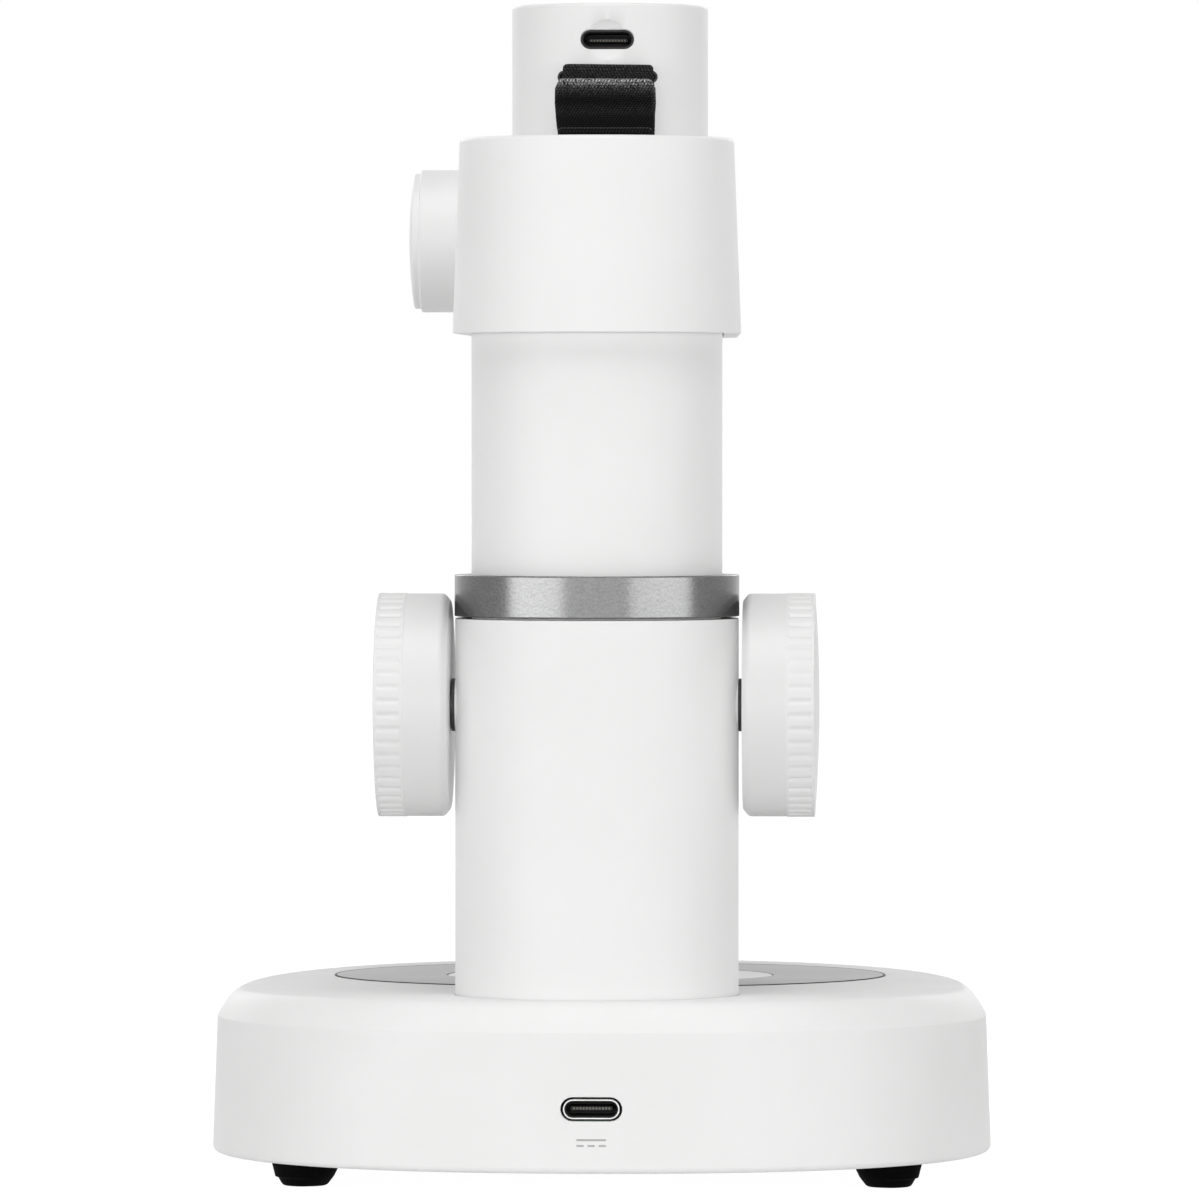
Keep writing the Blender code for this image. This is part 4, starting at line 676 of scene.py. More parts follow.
# %% Other finishes
BLACK = textured("black_moulding", grey(0.018), grey(0.026), 0.50, 0.40, depth=0.000012)
BLACK_SOCKET = textured("black_socket", grey(0.010), grey(0.014), 0.60, 0.50, depth=0.000006)
RUBBER = textured("black_rubber", grey(0.001), grey(0.002), 0.92, 0.78, grain=1800.0, depth=0.00003,
                  Specular_IOR_Level=0.05)
STAGE_GREY = textured("stage_grey", grey(0.50, 0.002), grey(0.53, 0.0), 0.62, 0.52, grain=3600.0,
                      depth=0.00001)
WINDOW_WHITE = textured("frosted_window", grey(0.74, -0.002), grey(0.78, -0.004), 0.42, 0.34,
                        grain=5000.0, depth=0.000006)
BUTTON_GREY = textured("button_grey", grey(0.62), grey(0.66), 0.50, 0.42)
PRINT_GREY = textured("pad_print", grey(0.36), grey(0.42), 0.60, 0.52, grain=6000.0)
CAST = textured("cast_alloy", grey(0.34), grey(0.42), 0.62, 0.48, grain=1500.0, depth=0.00004,
                Metallic=1.0)
BOARD_GREEN = textured("circuit_board", (0.015, 0.10, 0.045, 1.0), (0.03, 0.17, 0.08, 1.0), 0.42, 0.30,
                       grain=900.0, depth=0.00002, patch=260.0)
BATTERY_BLUE = textured("battery_sleeve", (0.03, 0.09, 0.28, 1.0), (0.05, 0.13, 0.36, 1.0), 0.35, 0.25,
                        grain=700.0, depth=0.00003)
STEEL = machined("bright_steel", grey(0.50), grey(0.60, 0.004), 0.30)
SHAFT_STEEL = machined("shaft_steel", grey(0.50), grey(0.60, 0.004), 0.22,
                       centre=(0.0, COLUMN_Y * MM, KNOB_Z * MM), turn=(0.0, math.pi / 2, 0.0))
BRASS = machined("machined_brass", (0.62, 0.43, 0.16, 1.0), (0.78, 0.57, 0.26, 1.0), 0.28,
                 centre=(0.0, COLUMN_Y * MM, KNOB_Z * MM), turn=(0.0, math.pi / 2, 0.0))
PLATED = machined("plated_steel", grey(0.58), grey(0.66, 0.006), 0.22, marks=9000.0)
CONTACT = machined("contact_metal", (0.12, 0.11, 0.10, 1.0), (0.20, 0.19, 0.16, 1.0), 0.45, marks=9000.0)


def make_glass(name, tint, coating):
    """Clear glass with a faint coated sheen; its roughness drifts a little, as wiping leaves it."""
    made, tree, shader = new_finish(name, Transmission_Weight=1.0, IOR=1.5, Base_Color=tint,
                                    Coat_Weight=coating, Coat_Tint=(0.80, 0.72, 1.0, 1.0))
    place = add(tree, "TexCoord").outputs["Object"]
    group = use_group(tree, GRAIN, Place=place, Grain_per_metre=400.0, Patch_per_metre=120.0)
    drift = ranged(tree, group.outputs["Patch"], To_Min=0.01, To_Max=0.05)
    tree.links.new(drift, shader.inputs["Roughness"])
    return made


LENS_GLASS = make_glass("lens_glass", (0.93, 0.97, 0.99, 1.0), 0.8)
CLEAR_GLASS = make_glass("clear_glass", (0.97, 0.98, 0.99, 1.0), 0.2)
print(len(bpy.data.materials), "materials so far")

# %% [markdown]
# Some solids are good enough as they are, mostly those inside or below. They keep their
# meshes and only get a finish.

# %% Finishes on the solids that stay
KEPT = (
    (WHITE_BASE, "base_bottom_cover"),
    (WHITE_ARM, "arm_bottom_cover"),
    (BLACK, "clamp_sleeve guide_bush image_sensor lens_cell light_switch lock_pad strap_pin"),
    (STEEL, "arm_screw_left arm_screw_right column_bolt cover_screw_front_left cover_screw_front_right"),
    (STEEL, "cover_screw_rear_left cover_screw_rear_right lock_screw"),
    (SHAFT_STEEL, "focus_shaft"),
    (BRASS, "pinion rack"),
    (CAST, "arm_bracket column_pillar"),
    (BOARD_GREEN, "base_power_board button_board led_ring light_board main_board sensor_board"),
    (BATTERY_BLUE, "battery"),
    (LENS_GLASS, "objective_lens"),
)


def dress(names, finish):
    for name in names.split():
        slots = nodes[name].data.materials
        slots.clear()
        slots.append(finish)


for finish, names in KEPT:
    dress(names, finish)
print(sum(len(names.split()) for _, names in KEPT), "solids dressed")

# %% [markdown]
# ## Base
#
# The base is an oval that is squarer than an ellipse. Such an outline is a superellipse: at
# angle t it is (a cos(t)^(2/n), b sin(t)^(2/n)), with n = 2 for an ellipse and more for
# squarer corners. Two halves of different depth share their widest line. The same outline is
# drawn again and again, moved inwards by the profile's inset and lifted by its height, and
# the rings are skinned.

# %% Base outline and heights
BASE_COLUMNS = 240


def base_outline(inset):
    """The superellipse for each inset, moved inwards along its own normal. The normal of
    |x/a|^n + |y/b|^n = 1 is (|x/a|^(n-1)/a, |y/b|^(n-1)/b) with the signs of x and y."""
    t = 2 * np.pi * (np.arange(BASE_COLUMNS) + 0.5) / BASE_COLUMNS
    power = 2 / BASE_EXPONENT
    reach = np.where(np.sin(t) > 0, REAR_Y - WIDEST_Y, WIDEST_Y - FRONT_Y)
    x = BASE_HALF_WIDTH * np.sign(np.cos(t)) * np.abs(np.cos(t)) ** power
    y = reach * np.sign(np.sin(t)) * np.abs(np.sin(t)) ** power
    across = np.sign(x) * np.abs(x / BASE_HALF_WIDTH) ** (BASE_EXPONENT - 1) / BASE_HALF_WIDTH
    along = np.sign(y) * np.abs(y / reach) ** (BASE_EXPONENT - 1) / reach
    size = np.hypot(across, along)
    inset = np.asarray(inset, float)[:, None]
    return x - inset * across / size, WIDEST_Y + y - inset * along / size


def base_height(level, y):
    """Height over the table of a level in the moulding. The crease and the deck fall towards
    the front, each with its own slope, and levels between them share their slopes."""
    crease = CREASE_HEIGHT - math.tan(CREASE_SLOPE) * (REAR_Y - y)
    deck = DECK_HEIGHT - math.tan(DECK_SLOPE) * (COLUMN_Y + COLUMN_R - y)
    low = level / CREASE_HEIGHT * crease
    high = crease + (level - CREASE_HEIGHT) / (DECK_HEIGHT - CREASE_HEIGHT) * (deck - crease)
    return BASE_Z + np.where(level < CREASE_HEIGHT, low, high)


def deck_z(y):
    return BASE_Z + DECK_HEIGHT - math.tan(DECK_SLOPE) * (COLUMN_Y + COLUMN_R - y)


print("rear wall at", REAR_Y, "front wall at", FRONT_Y)

# %% [markdown]
# The shoulder between the crease and the deck is a curve that leaves the crease leaning
# inwards and arrives level at the deck. The crease itself is rounded very little, just enough
# to catch the thin line of light that the photograph shows there.

# %% Profile of the base
SHOULDER_LEAN, SHOULDER_ROWS = 2.3, 14


def shoulder():
    """From the crease to the deck, as inset and level. With s from 0 to 1 the inset grows by
    2s(1-s) lean + s² depth, and the level by (1 - (1-s)²) of the rise."""
    s = np.linspace(0.0, 1.0, SHOULDER_ROWS)
    inward = 2 * s * (1 - s) * SHOULDER_LEAN + s ** 2 * SHOULDER_DEPTH
    upward = (1 - (1 - s) ** 2) * (DECK_HEIGHT - CREASE_HEIGHT)
    return np.stack([BASE_DRAFT + inward, CREASE_HEIGHT + upward], axis=-1)


def base_profile():
    """The hollow's two rings, then the bottom edge, the wall, the crease and the shoulder."""
    arc = shoulder()
    wall = eased([(2.2, 0.0), (0.0, 0.0, 0.9), tuple(arc[0]), tuple(arc[1])], 0.16, steps=5)
    inner = np.array([(6.4, DECK_HEIGHT - 3.0), (3.0, CREASE_HEIGHT - 1.0)])
    return np.vstack([inner, wall, arc[2:]])


print(len(base_profile()), "rings in the base's profile")

# %% [markdown]
# Holes need tools: a flat-sided oval for a socket or a slot, and a round pin for a button or
# the column. Each tool flares where it crosses the surface, which leaves a fine chamfer on
# the edge of the hole, as a real moulding has.

# %% Cutting tools
def oval(width, height, y, centre_z, flare=0.0, steps=10):
    """A flat-sided oval across X with half-round ends, grown by flare, at depth y."""
    a = np.linspace(-np.pi / 2, np.pi / 2, steps)
    r = height / 2
    x = np.concatenate([width / 2 - r + (r + flare) * np.cos(a), r - width / 2 - (r + flare) * np.cos(a)])
    z = np.concatenate([(r + flare) * np.sin(a), -(r + flare) * np.sin(a)])
    return np.stack([x, np.full(2 * steps, y), centre_z + z], axis=-1)


def oval_tool(width, height, inside_y, surface_y, centre_z, lip=0.18):
    """An oval hole with a small chamfer where it meets the surface."""
    rings = [oval(width, height, inside_y, centre_z), oval(width, height, surface_y - lip, centre_z),
             oval(width, height, surface_y + lip, centre_z, 2 * lip),
             oval(width, height, surface_y + 3.0, centre_z, 2 * lip)]
    return lofted(np.array(rings))


def tilted(shape, place):
    """Leans a shape by the deck's slope about X, then moves it."""
    points, faces = shape
    x, y, z = points.T
    c, s = math.cos(DECK_SLOPE), math.sin(DECK_SLOPE)
    return np.stack([x, c * y - s * z, s * y + c * z], axis=-1) + np.array(place), faces


def pin(radius, low, high, lip):
    """The profile of a round tool along its own Z, with a chamfer near its high end."""
    return [(0.0, low), (radius, low), (radius, high - lip), (radius + lip, high),
            (radius + lip, high + 3.0), (0.0, high + 3.0)]


print("cutting tools ready")

# %% [markdown]
# The stage's recess and the light hole under it are cut by one stepped tool that leans with
# the deck. Two tools that meet face to face would leave broken edges.

# %% Base shell
def make_base():
    """Skins the rings of the base and cuts its five openings."""
    profile = base_profile()
    x, y = base_outline(profile[:, 0])
    z = base_height(profile[:, 1][:, None], y)
    z[0], z[1] = deck_z(y[0]) - 3.0, base_height(np.full_like(y[1], CREASE_HEIGHT), y[1]) - 1.0
    base = stored("base_moulding", lofted(np.stack([x, y, z], axis=-1)))
    stage_place = (0.0, STAGE_Y, float(deck_z(STAGE_Y)))
    wall_y = REAR_Y - BASE_DRAFT * (BASE_USB_Z - BASE_Z) / CREASE_HEIGHT
    stepped = [(0.0, -6.0), (LIGHT_HOLE_R, -6.0), (LIGHT_HOLE_R, -STAGE_RECESS),
               *pin(STAGE_R + GAP, -STAGE_RECESS, -0.12, 0.12)[1:]]
    return carved(
        base,
        tilted(turned(stepped, 160), stage_place),
        moved(turned(pin(COLUMN_R + 0.15, 20.0, 30.5, 0.10), 144), (0.0, COLUMN_Y, 0.0)),
        oval_tool(9.7, 3.8, wall_y - 6.0, wall_y, BASE_USB_Z),
        moved(turned(pin(LIGHT_BUTTON_R + GAP, 72.5, 81.4, 0.2), 64), (0.0, 0.0, LIGHT_BUTTON_Z), "-Y"))


finished(make_base(), "stand", WHITE_BASE, "white_plastic", "base_shell")

# %% [markdown]
# ## Feet
#
# Four rubber feet. On its outer side each has a wide band, a small step and a short cone
# below it; towards the middle of the base it is one plain, flatter cone. So it is turned, and
# the radius then changes with the angle.

# %% Feet
FOOT_PLACES = {
    "foot_rear_right": (46.2, 54.45), "foot_rear_left": (-46.2, 54.45),
    "foot_front_right": (34.0, -46.75), "foot_front_left": (-34.0, -46.75),
}
FOOT = eased([(0.0, 4.1), (5.5, 4.1), (5.36, 3.4), (4.87, 1.45), (4.4, 1.3), (3.65, 0.0, 0.5),
              (0.0, 0.0)], 0.10)


def foot_dip(side):
    """The stepped radius less the plain cone's, faded in from the outer half to the inner one
    by a smooth step of the cosine of the angle."""
    def dip(angle, height):
        stepped = np.interp(height, [0.0, 1.3, 1.45, 3.4, 4.1], [3.65, 4.4, 4.87, 5.36, 5.5])
        cone = np.interp(height, [0.0, 2.5, 4.1], [3.35, 5.25, 5.5])
        return (stepped - cone) * smooth(-0.25, 0.25, -side * np.cos(angle))
    return dip


for name, (x, y) in FOOT_PLACES.items():
    shape = moved(turned(FOOT, 64, foot_dip(math.copysign(1.0, x))), (x, y, 0.0))
    finished(stored(name + "_rubber", shape), "stand", RUBBER, "black_rubber", name)

# %% [markdown]
# ## Stage
#
# A matt grey disc lies in a recess of the deck, with a frosted window flush in its middle
# that the light below shines through. Both lean forward with the deck. A thin black ring
# lies in the gap between disc and deck and stands up a little. It is painted shade: a dark
# piece that draws the shadow line along the disc's near edge.

# %% Stage disc and window
def make_stage():
    """Three turned pieces on one leaning axis: the disc, a black ring of painted shade round it and the
    window.
    """
    place = (0.0, STAGE_Y, float(deck_z(STAGE_Y)))
    hole = WINDOW_R + GAP
    disc = eased([(hole, -1.45), (hole, 0.12), (STAGE_R, 0.12, 0.04), (STAGE_R, -1.45)], 0.16,
                 closed=True)
    finished(stored("stage_disc", tilted(turned(disc, 192), place)), "stand", STAGE_GREY, "stage_grey",
             "stage_plate")
    # The black ring is painted shade: it stands for the shadow in the gap round the disc.
    rim = eased([(45.43, -1.4), (45.43, 0.15), (45.66, 0.15), (45.66, -1.4)], 0.03, closed=True)
    finished(stored("stage_rim", tilted(turned(rim, 192), place)), "stand", BLACK_SOCKET, "black_plastic")
    glass = eased([(0.0, 0.0), (WINDOW_R, 0.0), (WINDOW_R, -1.45), (0.0, -1.45)], 0.14)
    finished(stored("stage_glass", tilted(turned(glass, 144), place)), "stand", WINDOW_WHITE,
             "frosted_plastic", "stage_window")


make_stage()

# %% [markdown]
# ## Sockets
#
# Both sockets are the same connector: a plated oval shell with a rounded lip, a black tongue
# in it, and a row of small contacts on the tongue. The shell is a profile of ovals: outside,
# over the lip, inside and across its floor.

# %% Socket pieces
SHELL_WIDTH, SHELL_HEIGHT = 8.94, 3.16


def socket_shell(mouth_y, depth, z):
    """Ovals from the outer back edge forward, round the lip, and inside to the floor."""
    rows = ((0.0, depth), (0.0, 0.12), (0.06, 0.0), (0.24, 0.0), (0.3, 0.12), (0.3, depth - 0.3))
    rings = [oval(SHELL_WIDTH - 2 * inset, SHELL_HEIGHT - 2 * inset, mouth_y - back, z, steps=12)
             for inset, back in rows]
    return lofted(np.array(rings))


def socket_tongue(mouth_y, depth, z):
    """A flat block with rounded edges: a rounded rectangle carried inwards."""
    section = eased([(-3.35, -0.35), (3.35, -0.35), (3.35, 0.35), (-3.35, 0.35)], 0.12, closed=True)
    back = mouth_y - depth + 0.6
    rows = ((0.0, back), (0.0, back + 4.45), (0.1, back + 4.6))
    rings = [np.stack([section[:, 0] * (1 - inset / 3.35), np.full(len(section), y),
                       z + section[:, 1] * (1 - inset / 0.5)], axis=-1) for inset, y in rows]
    return lofted(np.array(rings))


def socket_liner(mouth_y, depth, z):
    """A black cup that lines the shell: outside, a thin lip, inside and the floor."""
    rows = ((0.3, depth - 0.2), (0.3, 0.3), (0.42, 0.22), (0.46, 0.4), (0.46, depth - 0.35))
    rings = [oval(SHELL_WIDTH - 2 * inset, SHELL_HEIGHT - 2 * inset, mouth_y - back, z, steps=12)
             for inset, back in rows]
    return lofted(np.array(rings))


def socket_contacts(mouth_y, depth, z):
    """Twelve contacts that show as small plates on the tongue's front edge."""
    tip = mouth_y - depth + 5.2
    low = np.array([-0.13, tip - 1.5, z - 0.16])
    high = np.array([0.13, tip + 0.03, z + 0.16])
    pick = np.array([[0, 0, 0], [1, 0, 0], [1, 1, 0], [0, 1, 0],
                     [0, 0, 1], [1, 0, 1], [1, 1, 1], [0, 1, 1]])
    block = np.where(pick == 1, high, low)
    sides = np.array([[0, 1, 2, 3], [4, 5, 6, 7], [0, 1, 5, 4], [1, 2, 6, 5], [2, 3, 7, 6], [3, 0, 4, 7]])
    centres = (np.arange(12) - 5.5) * 0.5
    points = block[None] + np.stack([centres, 0 * centres, 0 * centres], axis=-1)[:, None]
    faces = sides[None] + 8 * np.arange(12)[:, None, None]
    return points.reshape(-1, 3), faces.reshape(-1, 4).tolist()


def make_socket(prefix, body, mouth_y, depth, z):
    """The four pieces of one socket, whose mouth faces the back."""
    finished(stored(prefix + "_socket_shell", socket_shell(mouth_y, depth, z)), body, PLATED,
             "plated_steel", prefix + "_usb_shell")
    finished(stored(prefix + "_socket_liner", socket_liner(mouth_y, depth, z)), body, BLACK_SOCKET,
             "black_plastic")
    finished(stored(prefix + "_socket_tongue", socket_tongue(mouth_y, depth, z)), body, BLACK_SOCKET,
             "black_plastic", prefix + "_usb_tongue")
    finished(stored(prefix + "_contacts", socket_contacts(mouth_y, depth, z)), body, CONTACT,
             "plated_steel")


make_socket("base", "stand", REAR_Y - 0.72, 7.3, BASE_USB_Z)
make_socket("scope", "scope", BARREL_BACK_Y - 2.81, 7.34, SCOPE_USB_Z)


def make_collar():
    """The barrel's socket sits in a black collar that fills the gap up to the dish."""
    front, back = BARREL_BACK_Y - 0.62, BARREL_BACK_Y - 2.6
    rows = ((0.0, back), (0.0, front - 0.1), (0.08, front), (0.26, front), (0.36, front - 0.15),
            (0.36, back))
    rings = np.array([oval(8.72 - 2 * inset, 3.07 - 2 * inset, y, SCOPE_USB_Z, steps=16)
                      for inset, y in rows])
    points, columns = rings.reshape(-1, 3), rings.shape[1]
    finished(stored("scope_socket_collar", (points, joined(len(rows), columns, loop_rows=True))), "scope",
             BLACK_SOCKET, "black_plastic")


make_collar()

# %% [markdown]
# ## Printed sign
#
# Below the power socket stands a small grey print. The general sign for direct current is
# used there: a bar over three dashes. Each bar is a thin plate that follows the wall's own
# curve, so that it lies on it like ink.

# %% Direct current sign
def on_rear_wall(x, z, lift):
    """The wall's depth at (x, z): the superellipse solved for y, less the draft, plus a lift."""
    reach = REAR_Y - WIDEST_Y
    curve = WIDEST_Y + reach * (1 - np.abs(x / BASE_HALF_WIDTH) ** BASE_EXPONENT) ** (1 / BASE_EXPONENT)
    return curve - BASE_DRAFT * (z - BASE_Z) / CREASE_HEIGHT + lift


def plate_on_wall(x0, x1, z0, z1):
    """A plate between two lifts off the wall, as a loop of four edges carried along X."""
    x = np.linspace(x0, x1, 6)[:, None]
    z = np.array([z0, z1, z1, z0])[None, :] + 0 * x
    lift = np.array([-0.03, -0.03, 0.015, 0.015])[None, :]
    return lofted(np.stack([x + 0 * z, on_rear_wall(x + 0 * z, z, lift), z], axis=-1))


def gathered(shapes):
    """Puts several shapes into one mesh."""
    points, faces, first = [], [], 0
    for one, sides in shapes:
        points.append(one)
        faces += [[first + corner for corner in side] for side in sides]
        first += len(one)
    return np.vstack(points), faces


SIGN_Z = 8.7
bars = [plate_on_wall(-2.3, 2.3, SIGN_Z + 0.45, SIGN_Z + 0.75)]
bars += [plate_on_wall(x - 0.56, x + 0.56, SIGN_Z - 0.45, SIGN_Z - 0.15) for x in (-1.74, 0.0, 1.74)]
finished(stored("current_sign", gathered(bars)), "stand", PRINT_GREY, "black_plastic")

# %% [markdown]
# ## Column, ring and sliding tube
#
# Three turned parts on one axis. The column stands in the deck and its top carries the metal
# ring; the narrower tube slides through both. Small gaps between them draw the dark lines of
# the photograph, so the gaps are kept and the edges beside them are rounded.

# %% Column
def axis_turned(profile, steps, y, radius=0.25):
    """Turns a closed profile with rounded corners about an upright axis at y."""
    return moved(turned(eased(profile, radius, closed=True), steps), (0.0, y, 0.0))


COLUMN = [(COLUMN_R, 19.0), (COLUMN_R, COLUMN_TOP_Z), (21.6, COLUMN_TOP_Z), (21.6, 82.0), (20.6, 82.0),
          (20.6, 19.0)]
column = stored("column_skin", axis_turned(COLUMN, 192, COLUMN_Y))
shaft_hole = [(0.0, -30.0), (4.5, -30.0), (4.5, 30.0), (0.0, 30.0)]
carved(column, moved(turned(shaft_hole, 48), (0.0, COLUMN_Y, KNOB_Z), "+X"))
finished(column, "stand", WHITE_COLUMN, "white_plastic", "column_tube")

# %% [markdown]
# The ring's edges are rounded so little that its flat side mirrors the lamps in straight
# streaks. The sliding tube has a slot on either side, open below, so that it can pass the
# shaft of the focus knobs.

# %% Metal ring and sliding tube
RING = [(20.15, 90.4), (RING_R, 90.4, 0.2), (RING_R, RING_TOP_Z, 0.2), (20.15, RING_TOP_Z)]
finished(stored("metal_ring", axis_turned(RING, 192, COLUMN_Y)), "stand", BLASTED, "blasted_aluminium",
         "column_ring")

TUBE = [(TUBE_R, 46.0), (TUBE_R, 160.1), (17.9, 160.1), (17.9, 46.0)]
tube = stored("sliding_tube", axis_turned(TUBE, 192, COLUMN_Y))


def slot_tool():
    """A slot through both sides of the tube, open below: a rounded outline carried along X."""
    outline = eased([(-2.6, 44.0, 0.01), (2.6, 44.0, 0.01), (2.6, 95.9, 2.3), (-2.6, 95.9, 2.3)], 0.01,
                    closed=True, steps=8)
    rings = [np.stack([np.full(len(outline), x), COLUMN_Y + outline[:, 0], outline[:, 1]], axis=-1)
             for x in (-25.0, 25.0)]
    return lofted(np.array(rings))


carved(tube, slot_tool())
finished(tube, "lift", WHITE_COLUMN, "white_plastic", "inner_tube")

# %% [markdown]
# The shaft of the focus knobs turns in two flanged bushes. Each sits in a white seat in the
# column's wall, so that only its thin black flange shows between column and knob.

# %% Shaft bushes
BUSH = [(2.3, 20.2), (3.4, 20.2), (3.4, 22.5), (4.2, 22.5), (4.2, 23.08, 0.2), (2.3, 23.08)]
SEAT = [(3.45, 20.2), (4.38, 20.2), (4.38, 22.45), (3.45, 22.45)]
for side, way in (("right", "+X"), ("left", "-X")):
    shape = moved(turned(eased(BUSH, 0.08, closed=True), 64), (0.0, COLUMN_Y, KNOB_Z), way)
    finished(stored("hub_" + side, shape), "stand", BLACK, "black_plastic", "shaft_bush_" + side)
    seat = moved(turned(eased(SEAT, 0.05, closed=True), 64), (0.0, COLUMN_Y, KNOB_Z), way)
    finished(stored("hub_seat_" + side, seat), "stand", WHITE_COLUMN, "white_plastic")

# %% [markdown]
# ## Focus knobs
#
# Each knob is turned, with a bevel towards the column, a plain band, a ribbed band and a
# slightly domed face. A rib is a dip in the radius that repeats fifty times round the knob.
# The dip's shape is a bell curve in angle, multiplied by a smooth step in height that fades
# the ribs out at both ends of their band. The ribbed band gets a finish that is a touch paler
# and duller. Both finishes of the knob are darker than the other white parts, as painted shade.

# %% Focus knobs
KNOB_R = 17.75
RIBS, RIB_DEPTH, RIB_BAND = 50, 0.26, (30.35, 34.40)
COLUMNS_PER_RIB = 14
GRIP_FROM_X = 30.12


def rib_dip(angle, height):
    """Depth taken off the radius: exp(-(p / 0.17)²), with p the distance from the middle of a
    groove as a share of the pitch, times a smooth step at both ends of the band."""
    phase = (angle * RIBS / (2 * np.pi)) % 1.0
    groove = np.exp(-((phase - 0.5) / 0.17) ** 2)
    low, high = RIB_BAND
    band = smooth(low, low + 0.45, height) * (1 - smooth(high - 0.40, high, height))
    return RIB_DEPTH * groove * band


def knob_profile():
    """Inner face, bevel, plain band, close rows through the ribs, then the dome."""
    skirt = eased([(0.0, 23.2), (16.5, 23.2, 0.15), (17.68, 24.1, 0.55), (17.68, 30.1),
                   (KNOB_R, 30.17), (KNOB_R, 30.3)], 0.05)
    rows = np.concatenate([np.linspace(RIB_BAND[0], RIB_BAND[0] + 0.45, 5), [31.4, 32.4, 33.3],
                           np.linspace(RIB_BAND[1] - 0.40, RIB_BAND[1], 5)])
    ribs = np.stack([np.full(len(rows), KNOB_R), rows], axis=-1)
    r = np.linspace(1.0, 0.0, 9)[1:]
    dome = np.stack([17.1 * r, 35.3 - 0.62 * r ** 2], axis=-1)
    rim = eased([(KNOB_R, 34.42), (17.72, 34.64, 0.3), (17.1, 34.68)], 0.3)
    return np.vstack([skirt, ribs, rim, dome])


def make_knob(side, way):
    """Turns the knob, bores it for the shaft, and marks the faces of its grip."""
    shape = moved(turned(knob_profile(), RIBS * COLUMNS_PER_RIB, rib_dip), (0.0, COLUMN_Y, KNOB_Z), way)
    knob = stored("knob_" + side, shape)
    bore = [(0.0, 22.0), (2.3, 22.0), (2.3, 32.0), (0.0, 32.0)]
    carved(knob, moved(turned(bore, 32), (0.0, COLUMN_Y, KNOB_Z), way))
    # The knob's two finishes are darker copies of the white plastic, as painted shade.
    finished(knob, "focus_drive", SHADED_WHITE_KNOB, "white_plastic", "focus_knob_" + side)
    knob.data.materials.append(SHADED_WHITE_GRIP)
    middles = np.zeros(3 * len(knob.data.polygons))
    knob.data.polygons.foreach_get("center", middles)
    in_band = np.abs(middles[0::3]) > GRIP_FROM_X * MM
    knob.data.polygons.foreach_set("material_index", in_band.astype(np.int32))


make_knob("right", "+X")
make_knob("left", "-X")

# %% [markdown]
# The photograph shows no shade of the knobs on the column, as if the picture had been evened
# out. The rear lamps do the same: they leave the two knobs out when they cast shadows, which
# Blender calls shadow linking.

# %% Rear lamps and the knobs' shade
left_out = bpy.data.collections.new("casts_no_shade")
for side in ("right", "left"):
    left_out.objects.link(bpy.data.objects["knob_" + side])
for entry in left_out.collection_objects:
    entry.light_linking.link_state = "EXCLUDE"
for row in LAMPS[:3]:
    bpy.data.objects[row[0]].light_linking.blocker_collection = left_out
print("shadow linking on", [row[0] for row in LAMPS[:3]])

# %% [markdown]
# ## Arm
#
# Seen from above, the arm is two circles of different size joined by their common tangents.
# Its walls lean in towards the top. Every ring of the surface is such an outline with a
# smaller pair of circles. A round opening in its top takes the microscope, and a stepped hole
# in its side takes the lock's screw and the pad on the screw's end.

# %% Arm housing
ARM_REACH = COLUMN_Y - STAGE_Y


def arm_outline(rear_r, front_r, count=88):
    """A half circle about the column and one about the microscope, tilted by the angle whose
    sine is the difference of the radii over their distance, so that tangents join them."""
    lean = np.arcsin((rear_r - front_r) / ARM_REACH)[:, None]
    u = np.linspace(0.0, 1.0, count)[None, :]
    rear = lean + (np.pi - 2 * lean) * u
    front = np.pi - lean + (np.pi + 2 * lean) * u
    rear_r, front_r = rear_r[:, None], front_r[:, None]
    x = np.concatenate([rear_r * np.cos(rear), front_r * np.cos(front)], axis=1)
    y = np.concatenate([COLUMN_Y + rear_r * np.sin(rear), STAGE_Y + front_r * np.sin(front)], axis=1)
    return x, y


def make_arm():
    """A cup, open below: its hollow first, then its wall from the lower edge to the top."""
    outer = eased([(2.0, ARM_Z), (0.0, ARM_Z, 0.3), (1.15, ARM_TOP_Z, 0.7), (6.0, ARM_TOP_Z)], 0.3,
                  steps=6)
    rear = np.concatenate([[20.2, 20.2], ARM_REAR_R - outer[:, 0]])
    front = np.concatenate([[18.8, 18.8], ARM_FRONT_R - outer[:, 0]])
    z = np.concatenate([[163.7, ARM_Z], outer[:, 1]])
    x, y = arm_outline(rear, front)
    arm = stored("arm_cover_shell", lofted(np.stack([x, y, z[:, None] + 0 * x], axis=-1)))
    screw_way = [(0.0, 16.0), (3.4, 16.0), (3.4, 19.1), (2.5, 19.1), (2.5, 24.0), (0.0, 24.0)]
    return carved(
        arm,
        moved(turned(pin(16.7, 150.0, ARM_TOP_Z, 0.25), 144), (0.0, STAGE_Y, 0.0)),
        moved(turned(screw_way, 32), (0.0, STAGE_Y, LOCK_Z), "+X"))


finished(make_arm(), "lift", WHITE_ARM, "white_plastic", "arm_housing")

# %% [markdown]
# ## Lock knob
#
# The knob on the arm's side clamps the microscope. It is plain and turned, with a fine step
# near its outer end and a soft dome.

# %% Lock knob
def lock_profile():
    """The side with its fine step, then a dome that falls off as r² does."""
    r = np.linspace(1.0, 0.0, 8)
    dome = np.stack([10.8 * r, 33.25 - 0.75 * r ** 2], axis=-1)
    side = eased([(0.0, 21.5), (11.8, 21.5, 0.35), (11.8, 31.2, 0.15), (11.2, 31.3, 0.1),
                  (11.2, 32.35, 0.35), (10.8, 32.5)], 0.2)
    return np.vstack([side[:-1], dome])


